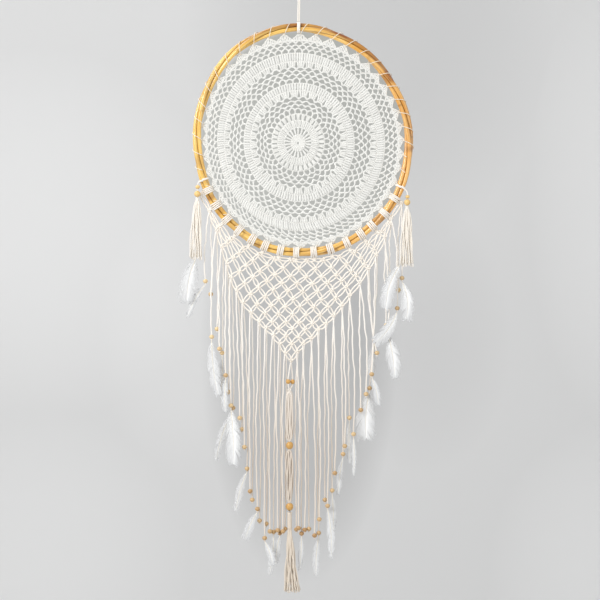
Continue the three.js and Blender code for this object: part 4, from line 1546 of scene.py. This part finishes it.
    def build(self, cotton: bpy.types.Material) -> None:
        """Winds the heads, runs each pair from its head to the net's edge and ties the knots.

        Args:
            cotton: The cord's finish.
        """
        shells = self.head_shells()
        for head in range(self.heads):
            right = [self.node(r, head) for r in range(self.heads - head)]
            left = [self.node(r, head - r) for r in range(head + 1)]
            for nodes, depth in ((right, -self.depth), (left, self.depth)):
                if len(nodes) > 1:
                    for line in self.pair(np.array(nodes), depth):
                        shells.append(swept(line, CORD, tone=RNG.random() * 0.5))
        places = np.array([
            self.node(r, i) for r in range(1, self.heads) for i in range(self.heads - r)])
        least, more = self.knot_sizes
        size = self.knot * (least + more * RNG.random(len(places)))
        lines = knot_lines(places, size, RNG.random(len(places)) * 2)
        shells.append(swept(lines, CORD, closed=True, tone=RNG.random(len(places)) * 0.4))
        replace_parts(made("net", joined(shells), cotton), "macrame")


NET = Net()


@dataclass(frozen=True)
class Strand:
    """A loose strand: its side, its row on the net's edge, its layer, its bead's place, how far
    its layer is from the hoop's plane and how far below the bead's middle it ends, in mm."""

    side: Side
    row: int
    layer: Layer
    x: float
    z: float
    depth: float = 3.4
    below: float = 5.6

    @property
    def bead(self) -> Array:
        """The bead's middle, in mm."""
        return np.array([self.x, self.layer.value * self.depth, self.z])

    @property
    def end(self) -> Array:
        """The strand's lower end."""
        return self.bead - (0, 0, self.below)

    @property
    def root(self) -> Array:
        """The knot on the net's edge that it hangs from."""
        return NET.node(self.row, 0 if self.side is Side.LEFT else NET.heads - 1 - self.row)


def strands(side: Side, rows: list) -> list[Strand]:
    """Strands from a table of rows, front beads and back beads.

    Args:
        side: The net's edge.
        rows: Row, front x, front z, back x, back z.

    Returns:
        Two strands for each row.
    """
    return [
        Strand(side, row, layer, *spot)
        for row, fx, fz, bx, bz in rows
        for layer, spot in ((Layer.FRONT, (fx, fz)), (Layer.BACK, (bx, bz)))
    ]


STRANDS = strands(Side.LEFT, [
    (1, -180, -576, -170, -601), (2, -168, -683, -158, -668), (3, -153, -706, -148, -714),
    (4, -141, -757, -136, -789), (5, -131, -815, -127, -820), (6, -114, -839, -110, -861),
    (7, -105, -895, -100, -937), (8, -94, -980, -90, -997), (9, -80, -1014, -76, -1037),
    (10, -66, -1070, -63, -1043), (11, -56, -1057, -49, -1059), (12, -41, -1055, -37, -1061),
    (13, -31, -1057, -27, -1053),
]) + strands(Side.RIGHT, [
    (0, 198, -570, 192, -593), (1, 189, -628, 176, -612), (2, 171, -672, 168, -661),
    (3, 150, -714, 145, -691), (4, 140, -755, 136, -782), (5, 129, -793, 119, -824),
    (6, 105, -870, 97, -839), (7, 88, -893, 85, -909), (8, 69, -945, 64, -979),
    (9, 55, -1008, 50, -997), (10, 39, -1034, 38, -1061), (11, 30, -1065, 19, -1053),
    (12, 11, -1054, 5, -1062), (13, -1, -1051, -5, -1054),
])


@dataclass
class Fringe:
    """The loose strands of both edges of the net, each to its bead and a small end knot. The
    strands of the gathered rows at the right swing to one place on their way."""

    step: float = 2.1
    points: int = 90
    root_apart: float = 1.3
    root_drop: float = 2.0
    hung: float = 0.95
    wave: float = 1.2
    calm_power: float = 0.8
    apart: float = 1.8
    depth_by: float = 0.07
    sway: float = 0.5
    knot: float = 1.35
    knot_rise: float = 0.8
    knot_thread: Section = Section(0.8, 0.8)
    gather: tuple[float, float] = (143.4, -687.0)
    gathered: tuple[int, ...] = (3, 4)
    gather_power: float = 1.7
    gather_end: float = 0.97

    def waves(self, s: Array, number: int) -> Array:
        """How far a strand waves aside: the wave times the sum of a slow sine of 3 to 9
        radians, half of one of 21, and 0.35 of a fine one of 41 to 59.

        Args:
            s: The share of the way down.
            number: The strand's number, which sets the phase.

        Returns:
            The way to the right, in mm.
        """
        phase = 2.4 * number**1.3
        bends = 6 + 3 * math.sin(phase)
        fine = 50 + 9 * math.sin(3 * phase)
        slow = np.sin(bends * s + phase) + 0.5 * np.sin(21 * s + 2 * phase)
        return self.wave * (slow + 0.35 * np.sin(fine * s + 3 * phase))

    def line(self, strand: Strand, number: int) -> Array:
        """A strand's line. With s the share of the way down, x is the bead's x plus the cube of
        (1 - s) times the way from the bead to the root, plus waves that end at the bead. The
        front and the back strand of a row keep a little apart halfway down. A gathered strand
        swings in to its place by a power of s first, and goes straight on to its bead.

        Args:
            strand: The strand.
            number: Its number, which sets its waves.

        Returns:
            The line's points.
        """
        root = strand.root + (strand.layer.value * self.root_apart, 0, -self.root_drop)
        end = strand.end
        s = np.linspace(0, 1, self.points)
        hung = np.minimum(1, s / self.hung)
        calm = np.sin(math.pi * hung) ** self.calm_power
        wave = self.waves(s, number)
        outward = 1 if strand.side is Side.LEFT else -1
        x = strand.x + (root[0] - strand.x) * (1 - hung) ** 3
        x = x + strand.layer.value * outward * self.apart * calm
        if strand.side is Side.RIGHT and strand.row in self.gathered:
            meeting = (root[2] - self.gather[1]) / (root[2] - end[2])
            swung = np.minimum(1, s / meeting) ** self.gather_power
            x = root[0] + (self.gather[0] - root[0]) * swung
            x = x + np.interp(s, [meeting, self.gather_end], [0, end[0] - self.gather[0]])
            wave = wave * np.minimum(1, 3 * np.abs(s - meeting))
        x = x + wave * calm
        y = strand.bead[1] * np.minimum(1, s / self.depth_by)
        y = y + self.sway * np.sin(13 * s + number) * calm
        return drawn(np.stack([x, y, root[2] + (end[2] - root[2]) * s], -1), self.step)

    def build(self, cotton: bpy.types.Material) -> None:
        """Hangs the strands of each side, with a knot under each bead.

        Args:
            cotton: The strands' finish.
        """
        for side in Side:
            mine = [(k, s) for k, s in enumerate(STRANDS) if s.side is side]
            shells = [
                swept(self.line(s, k), CORD, tone=RNG.random() * 0.25) for k, s in mine]
            ends = np.array([s.end + (0, 0, self.knot_rise) for _, s in mine])
            knots = knot_lines(ends, self.knot, RNG.random(len(ends)) * 3)
            shells.append(swept(knots, self.knot_thread, closed=True))
            made(f"fringe_{side.value}", joined(shells), cotton)


# A bead's profile: levels from its foot at -1 to its top at 1, its rim's wall in mm, how square
# its barrel is, the bore's share of the height, and how much painted shade each point has, full in
# the bore and some at its mouths
BEAD_LEVELS = np.array([-1, -0.93, -0.75, -0.4, 0, 0.4, 0.75, 0.93, 1])
BEAD_RIM = 0.5
BEAD_POWER = 2.6
BORE_SHARE = 0.94
BORE_SHADE = np.array([0.35, 0, 0, 0, 0, 0, 0, 0, 0.35, 1, 1])


@dataclass(frozen=True)
class BeadSize:
    """A bead's radius, height and bore radius, in mm."""

    radius: float
    height: float
    hole: float

    def shell(self, places: Array, sides: int, tone: Array) -> Shell:
        """Equal barrels with their bores. Outside, the radius is the rim's plus the rest of the
        wall times (1 - h to the power 2.6), where h goes from -1 to 1 up the bead.

        Args:
            places: The beads' middles, in mm.
            sides: The points round each.
            tone: How deep the colour of each is.

        Returns:
            The beads.
        """
        rim = self.hole + BEAD_RIM
        outer = rim + (self.radius - rim) * (1 - np.abs(BEAD_LEVELS) ** BEAD_POWER)
        outside = np.stack([outer, BEAD_LEVELS * self.height / 2], -1)
        mouth = BORE_SHARE * self.height / 2
        bore = [[self.hole, mouth], [self.hole, -mouth]]
        return turned(np.concatenate([outside, bore]), places, sides, tone, BORE_SHADE)


@dataclass
class Beads:
    """The wooden beads: one on each strand, and four larger ones at the centre. A lower row's
    beads are a little deeper in colour, and a few have a depth of their own."""

    small: BeadSize = BeadSize(4.7, 8.0, 1.5)
    paired: BeadSize = BeadSize(4.3, 8.6, 1.6)
    large: BeadSize = BeadSize(6.9, 13.5, 3.2)
    small_sides: int = 14
    large_sides: int = 24
    small_tone: float = 0.6
    row_tone: float = 0.07
    gold_tone: float = 0.4
    pair_places: tuple = ((-20.8, -3.0, -769.0), (-12.4, 3.0, -769.6))
    large_places: tuple = ((-18.0, 0.0, -892.0), (-18.0, 0.0, -1010.0))
    nodes: tuple[str, ...] = (
        "left_1_front", "left_1_back", "left_2_front", "left_4_back", "left_5_back",
        "left_6_back", "right_0_front", "right_0_back", "right_1_front", "right_3_back",
        "right_4_back", "right_5_back")
    dark: dict = field(default_factory=lambda: {
        (Side.RIGHT, 3, Layer.BACK): 1.0, (Side.RIGHT, 1, Layer.FRONT): 0.8})

    def build(self, light: bpy.types.Material, gold: bpy.types.Material) -> None:
        """Turns the small beads as one piece a side, and the centre's four singly.

        Args:
            light: The small beads' finish.
            gold: The centre beads' finish.
        """
        for side in Side:
            mine = [s for s in STRANDS if s.side is side]
            tone = np.array([
                self.dark.get(
                    (s.side, s.row, s.layer),
                    self.small_tone * RNG.random() ** 2 + self.row_tone * s.row)
                for s in mine])
            shell = self.small.shell(np.array([s.bead for s in mine]), self.small_sides, tone)
            beads = made(f"beads_{side.value}", shell, light)
            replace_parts(beads, *(f"bead_{n}" for n in self.nodes if n.startswith(side.value)))
        for kind, names, size, places in (
                ("pair_bead", ("left", "right"), self.paired, self.pair_places),
                ("large_bead", ("middle", "low"), self.large, self.large_places)):
            for name, place in zip(names, places):
                tone = np.array([self.gold_tone])
                shell = size.shell(np.array([place]), self.large_sides, tone)
                bead = made(f"{kind}_{name}", shell, gold)
                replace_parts(bead, f"centre_bead_{name}")


@dataclass
class CentreDrop:
    """The cords below the net's tip: through the pair of beads, a knot, and a loose bundle
    through both large beads. The spread is the bundle's half width at each level, in mm, and
    the half room is from a bead's middle to just clear of it. The cords behind get painted shade,
    deeper in tone and shade, and a cord's place in the bundle shifts more at each level down."""

    tip: Place = (-15.4, 0.0, -728.6)
    fork: float = -748.0
    fork_across: float = 0.6
    fork_through: float = 0.7
    half_room: float = 5.3
    gather: Place = (-18.5, 0.0, -786.0)
    knot: float = 3.0
    knot_apart: Place = (0.6, 0.0, -5.0)
    knot_spins: tuple[float, float] = (0.4, 1.3)
    cords: int = 10
    middle: float = -18.3
    levels: tuple[float, ...] = (
        -786, -795, -815, -850, -867, -877, -885, -899, -907, -930, -965, -993, -1003, -1019)
    spread: tuple[float, ...] = (
        1.2, 5.6, 6.2, 6.0, 6.0, 5.2, 1.0, 1.0, 4.8, 6.0, 5.4, 4.6, 1.0, 1.2)
    shift: tuple[float, float] = (0.08, 0.017)
    thickness: float = 0.6
    # Each cord's tone and painted shade: a base, and an extra for the cords behind, where shade
    # falls
    tone: tuple[float, float] = (0.2, 0.2)
    shade: tuple[float, float] = (0.12, 0.08)

    def build(self, cotton: bpy.types.Material) -> None:
        """Runs two cords to the gathering knot and ten below it, every second one behind.

        Args:
            cotton: The cords' finish.
        """
        shells = []
        for x, y, z in Beads().pair_places:
            fork = (
                self.tip[0] + self.fork_across * (x - self.tip[0]), self.fork_through * y,
                self.fork)
            points = [
                self.tip, fork, (x, y, z + self.half_room), (x, y, z - self.half_room),
                self.gather]
            shells.append(swept(drawn(points, 1.6), CORD))
        places = np.array([self.gather, np.add(self.gather, self.knot_apart)])
        knots = knot_lines(places, self.knot, np.array(self.knot_spins), 1.0)
        shells.append(swept(knots, CORD, closed=True))
        for k in range(self.cords):
            across, behind = 2 * k / (self.cords - 1) - 1, k % 2
            shifts = [
                (self.shift[0] + self.shift[1] * n) * math.sin(5 * k + 2 * n)
                for n in range(len(self.levels))]
            points = [
                (self.middle + half * (across + shift), half * (behind - 0.5) * self.thickness, z)
                for z, half, shift in zip(self.levels, self.spread, shifts)]
            # The cords behind get a deeper tone and more painted shade
            tone, shade = (v[0] + v[1] * behind for v in (self.tone, self.shade))
            shells.append(swept(drawn(points, 2.0), CORD, tone=tone, shade=shade))
        made("centre_cords", joined(shells), cotton)


@dataclass
class Tassel:
    """Cords that hang from a wound neck. Each goes from its place at the neck to its place at
    the bottom, and its share of the way across grows with the share down to a power.
    Sizes in mm: the neck's foot, the wound length and radius, the bottom's height, the stretch
    that the ends cover, how uneven the ends are, the waves, and the winding's pitch."""

    neck: Place
    wound: float
    radius: float
    bottom: float
    across: tuple[float, float]
    strands: int
    uneven: float
    power: float = 0.45
    wave: float = 1.5
    pitch: float = 1.7
    winding: Section = Section(0.95, 0.95)
    winding_points: int = 20
    cord: Section = Section(1.2, 1.2)
    cord_points: int = 12
    root_share: float = 0.85
    root_rise: float = 2.0
    depth: tuple[float, float] = (1.2, 1.6)

    def shells(self) -> list[Shell]:
        """Winds the neck and hangs the cords in three rows, in front, in the middle and behind.

        Returns:
            The neck and each cord.
        """
        x, y, z = self.neck
        neck = helix(
            (x, y, z + self.wound), self.wound, self.radius, round(self.wound / self.pitch),
            self.winding_points)
        shells = [swept(neck, self.winding, UP)]
        s = np.linspace(0, 1, self.cord_points)
        top = z + self.root_rise
        for k in range(self.strands):
            share = (k + 0.5) / self.strands
            row = (-1, 0, 1)[k % 3]
            foot = self.across[0] + (self.across[1] - self.across[0]) * share
            root = x + (share - 0.5) * 2 * self.radius * self.root_share
            end = self.bottom + self.uneven * math.sin(2.7 * k + 0.5)
            wave = self.wave * np.sin(7 * s + 2.9 * k) * np.sin(math.pi * s) ** 0.7
            line = np.stack([
                root + (foot - root) * s**self.power + wave,
                y + row * (self.depth[0] + self.depth[1] * s),
                top + (end - top) * s], -1)
            shells.append(swept(drawn(line, 2.2), self.cord, tone=RNG.random() * 0.6))
        return shells


@dataclass(frozen=True)
class StringBead:
    """A bead on a tassel's thread: its name, place in mm and size."""

    name: str
    x: float
    z: float
    size: BeadSize


@dataclass
class SideTassel:
    """A tassel at the side, with its thread round the hoop and its two beads. The thread
    leaves the hoop at a reach and swing, and goes down in front of it."""

    side: Side
    turn: float
    small: StringBead
    large: StringBead
    tassel: Tassel
    depth: float = -10.5
    swing: float = -1.35
    reach: float = 10.0
    loop: tuple[int, float, float] = (2, 2.4, 9.7)
    thread: Section = Section(1.1, 1.1)
    bead_sides: int = 20
    bead_tone: float = 0.35

    def build(self, cotton: bpy.types.Material, wood: bpy.types.Material) -> None:
        """Hangs the tassel from its thread and strings its beads.

        Args:
            cotton: The cord's finish.
            wood: The beads' finish.
        """
        start = HOOP.around(self.turn, self.reach, self.swing)
        above = self.small.z + self.small.size.height / 2 + 1
        halfway = (start[0] + 0.8 * (self.small.x - start[0]), self.depth, (start[2] + above) / 2)
        thread = [
            start, halfway, (self.small.x, self.depth, above),
            (self.large.x, self.depth, self.large.z),
            (self.large.x, self.depth, self.tassel.neck[2] + 2)]
        shells = [
            swept(coil(self.turn, *self.loop, self.swing), CORD),
            swept(drawn(thread, 1.5), self.thread), *self.tassel.shells()]
        tassel = made(f"side_tassel_{self.side.value}", joined(shells), cotton)
        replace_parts(tassel, f"tassel_{self.side.value}")
        for bead in (self.small, self.large):
            place = np.array([(bead.x, self.depth, bead.z)])
            shell = bead.size.shell(place, self.bead_sides, np.array([self.bead_tone]))
            piece = made(f"string_bead_{self.side.value}_{bead.name}", shell, wood)
            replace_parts(piece, f"tassel_bead_{self.side.value}_{bead.name}")


SIDE_TASSELS = (
    SideTassel(
        Side.LEFT, 249.6, StringBead("small", -194.4, -395.2, BeadSize(4.5, 7.0, 1.5)),
        StringBead("large", -195.2, -408.5, BeadSize(6.1, 11.6, 1.5)),
        Tassel((-195.2, -10.5, -422.0), 6.5, 2.6, -532.0, (-210.0, -186.0), 14, 4.0)),
    SideTassel(
        Side.RIGHT, 114.2, StringBead("small", 208.4, -414.0, BeadSize(4.1, 6.4, 1.5)),
        StringBead("large", 207.7, -424.6, BeadSize(6.0, 11.8, 1.5)),
        Tassel((207.5, -10.5, -438.0), 6.5, 2.6, -545.0, (193.0, 220.0), 14, 4.0)),
)


@dataclass
class TailTassel:
    """The tassel below the lowest centre bead, with its long wound sleeve."""

    tassel: Tassel = field(default_factory=lambda: Tassel(
        (-18.0, 0.0, -1052.0), 31.0, 3.6, -1173.0, (-29.0, 3.0), 18, 3.0, 1.5, 2.2))

    def build(self, cotton: bpy.types.Material) -> None:
        """Winds the sleeve and hangs the cords."""
        tassel = made("tail_tassel", joined(self.tassel.shells()), cotton)
        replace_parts(tassel, "centre_tassel")


@dataclass
class Feather:
    """A quill with barbs. With s the share of the way down, the quill is across by s times the
    tip's way across, below by s times the length, and bent aside by the bend times sin(pi s).
    Sizes are in mm, the swing is how far its tip is in depth from its base, and thin is how
    fine and clear its barbs are, from 0 to 1. Barbs leave the quill between the first and the
    last share, at an angle that closes from the base to the tip, in clumps whose reach is a
    share of the vane's half width."""

    base: Place
    across: float
    length: float
    width: float
    bend: float
    thin: float
    swing: float
    seed: int
    barbs: int = 74
    first: float = 0.05
    last: float = 0.965
    quill_end: float = 0.97
    quill_section: Section = Section(0.75, 0.6)
    root_half: float = 0.9
    outline: float = 0.7
    angles: tuple[float, float] = (48.0, 18.0)
    clump_tilt: float = 10.0
    clump_reach: tuple[float, float] = (0.86, 0.24)
    clump_lean: float = 0.4
    clumps: float = 0.1
    down_to: float = 0.2
    down_tilt: float = 22.0
    forward: float = 1.35
    past_tip: float = 1.06
    barb_half: float = 0.16
    barb_width: tuple[float, float] = (0.45, 0.36)
    clear_share: float = 0.55
    barb_taper: tuple[float, ...] = (1.0, 1.05, 0.9, 0.65, 0.2)

    def quill(self, s: Array) -> Array:
        """The quill's place at a share of the way down.

        Args:
            s: The share.

        Returns:
            The place, in mm.
        """
        aside = unit(np.array([self.length, 0, self.across]))
        s = np.asarray(s, float)[..., None]
        return (
            np.array(self.base) + s * (self.across, 0, -self.length)
            + np.array([0, self.swing, 0]) * (1 - (1 - s) ** 2)
            + aside * self.bend * np.sin(math.pi * s))

    def vane(self, sign: int, random: np.random.Generator) -> Shell:
        """The barbs of one side, in clumps. The outline's half width grows from the quill's by
        the 0.7 power of sin(pi times the 0.7 power of the share down). A barb bends forward and
        leans to its clump's middle. Near the base, exp(-(s / 0.2) squared), barbs are downy:
        they stand at uneven angles and curl.

        Args:
            sign: -1 or 1, the side.
            random: Numbers that are the same each time.

        Returns:
            The barbs.
        """
        s = np.linspace(self.first, self.last, self.barbs)
        v = np.clip((s - 0.03) / 0.97, 0, 1)
        swell = np.sin(math.pi * v**self.outline) ** self.outline
        half = self.root_half + (self.width / 2 - self.root_half) * swell
        clump = np.cumsum(random.random(self.barbs) < self.clumps)
        middle = np.bincount(clump, s) / np.maximum(1, np.bincount(clump))
        tilt = (random.random(clump[-1] + 1) - 0.5)[clump]
        short, more = self.clump_reach
        reach = (short + more * random.random(clump[-1] + 1))[clump]
        down = np.exp(-(s / self.down_to) ** 2)
        angle = np.radians(
            self.angles[0] + (self.angles[1] - self.angles[0]) * s + self.clump_tilt * tilt
            + self.down_tilt * down * (random.random(self.barbs) - 0.3))
        half = half * reach * (0.95 + 0.1 * random.random(self.barbs))
        q = np.linspace(0, 1, len(self.barb_taper))
        along = (half / np.tan(angle))[:, None] * q**self.forward / self.length
        lean = self.clump_lean * (middle[clump] - s)[:, None] * q**2
        spot = np.minimum(s[:, None] + along + lean, self.past_tip)
        way = self.quill(spot + 0.01) - self.quill(spot - 0.01)
        side = unit(np.cross(way, FRONT_TO_BACK))
        lines = self.quill(spot) + sign * side * (half[:, None] * q)[..., None]
        curl = 0.2 * self.width * down[:, None] * q * (random.random((self.barbs, 1)) - 0.5)
        lines[..., 1] += curl + 0.6 * sign * tilt[:, None] * q + 0.5 * q**2
        clear = self.clear_share * self.thin
        least, more = self.barb_width
        wide = (least + more * self.length / self.barbs) * (1 - clear)
        return swept(
            lines, Section(wide, self.barb_half, 3), taper=self.barb_taper,
            shade=clear + (1 - clear) * np.tile(q**2, (self.barbs, 1)))

    def shell(self) -> Shell:
        """Joins the quill and the barbs of both sides.

        Returns:
            The feather.
        """
        random = np.random.default_rng(self.seed)
        s = np.linspace(0, self.quill_end, 16)
        rod = swept(self.quill(s), self.quill_section, taper=1 - 0.8 * s, tone=1.0)
        return joined([rod, self.vane(-1, random), self.vane(1, random)])


# For each feathered strand: the tip's way across, the length, the width, the bend and how
# clear the barbs are
FEATHERS = {
    (Side.LEFT, 1, Layer.FRONT): (-33, 62, 15, -4, 0.1),
    (Side.LEFT, 2, Layer.FRONT): (13, 106, 24, -3, 0.4),
    (Side.LEFT, 3, Layer.BACK): (-4, 75, 15, 2, 0.7),
    (Side.LEFT, 4, Layer.FRONT): (0, 64, 15, -2, 0.5),
    (Side.LEFT, 5, Layer.FRONT): (6, 108, 31, 2, 0.0),
    (Side.LEFT, 5, Layer.BACK): (-33, 96, 16, -5, 0.5),
    (Side.LEFT, 7, Layer.BACK): (-22, 76, 17, -3, 0.7),
    (Side.LEFT, 9, Layer.FRONT): (-23, 50, 19, -2, 0.7),
    (Side.LEFT, 10, Layer.FRONT): (16, 43, 15, 2, 0.6),
    (Side.LEFT, 11, Layer.BACK): (-8, 76, 15, 2, 0.7),
    (Side.LEFT, 12, Layer.BACK): (-8, 56, 17, -2, 0.7),
    (Side.RIGHT, 0, Layer.FRONT): (8, 73, 29, 7, 0.0),
    (Side.RIGHT, 1, Layer.FRONT): (-41, 60, 26, 5, 0.0),
    (Side.RIGHT, 2, Layer.FRONT): (13, 84, 29, 3, 0.1),
    (Side.RIGHT, 3, Layer.BACK): (-10, 60, 21, 2, 0.6),
    (Side.RIGHT, 4, Layer.FRONT): (13, 52, 15, 2, 0.6),
    (Side.RIGHT, 4, Layer.BACK): (-6, 92, 42, -4, 0.0),
    (Side.RIGHT, 6, Layer.FRONT): (0, 74, 10, 1, 0.7),
    (Side.RIGHT, 6, Layer.BACK): (1, 82, 13, -1, 0.6),
    (Side.RIGHT, 7, Layer.BACK): (-9, 73, 13, -2, 0.6),
    (Side.RIGHT, 8, Layer.BACK): (1, 102, 13, 2, 0.7),
    (Side.RIGHT, 9, Layer.FRONT): (7, 92, 17, 3, 0.6),
    (Side.RIGHT, 10, Layer.BACK): (-5, 77, 15, -2, 0.7),
    (Side.RIGHT, 12, Layer.BACK): (-4, 65, 12, 1, 0.7),
}
TASSEL_FEATHERS = {
    Side.LEFT: ((-198.0, -13.6, -532.5), (-17, 81, 35, -4, 0.0)),
    Side.RIGHT: ((193.5, -13.6, -545.0), (-27, 85, 31, -7, 0.0)),
}


@dataclass
class Feathers:
    """The feathers of both sides, each on the end of its strand or of a tassel's lock."""

    swing: float = 9.0
    tassel_swing: float = -3.0
    gap: float = 0.4
    first_seed: int = 40

    def build(self, finish: bpy.types.Material) -> None:
        """Makes each side's feathers in one piece.

        Args:
            finish: The feathers' finish.
        """
        for side in Side:
            plans, names = [], []
            for strand in STRANDS:
                shape = FEATHERS.get((strand.side, strand.row, strand.layer))
                if strand.side is side and shape:
                    base = strand.end - (0, 0, self.gap)
                    plans.append((tuple(base), *shape, strand.layer.value * self.swing))
                    layer = strand.layer.name.lower()
                    names.append(f"feather_{side.value}_{strand.row}_{layer}")
            base, shape = TASSEL_FEATHERS[side]
            plans.append((base, *shape, self.tassel_swing))
            names.append(f"feather_tassel_{side.value}")
            shells = [Feather(*p, self.first_seed + k).shell() for k, p in enumerate(plans)]
            piece = made(f"feathers_{side.value}", joined(shells), finish)
            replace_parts(piece, *names)


def main() -> None:
    """Builds the scene piece by piece."""
    logging.basicConfig(level=logging.INFO, format="%(message)s")
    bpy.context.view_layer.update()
    studio = Studio()
    studio.add_camera()
    cotton, wood, gold, honey, loose = (
        finish.material()
        for finish in (CORD_COTTON, BEAD_WOOD, GOLD_WOOD, HONEY_WOOD, LOOSE_COTTON))
    doily = Doily()
    Hanger().build(cotton)
    Hoop().build(RattanFinish().material())
    doily.build(CROCHET_COTTON.material(), ["rattan_a", "rattan_b", "rattan_c"])
    Lacing(doily).build(LACING_COTTON.material())
    NET.build(cotton)
    Fringe().build(loose)
    Beads().build(wood, gold)
    CentreDrop().build(loose)
    for tassel in SIDE_TASSELS:
        tassel.build(cotton, honey)
    TailTassel().build(cotton)
    Feathers().build(FeatherFinish().material())
    studio.add_paper()
    studio.add_lights()


if __name__ == "__main__":
    main()
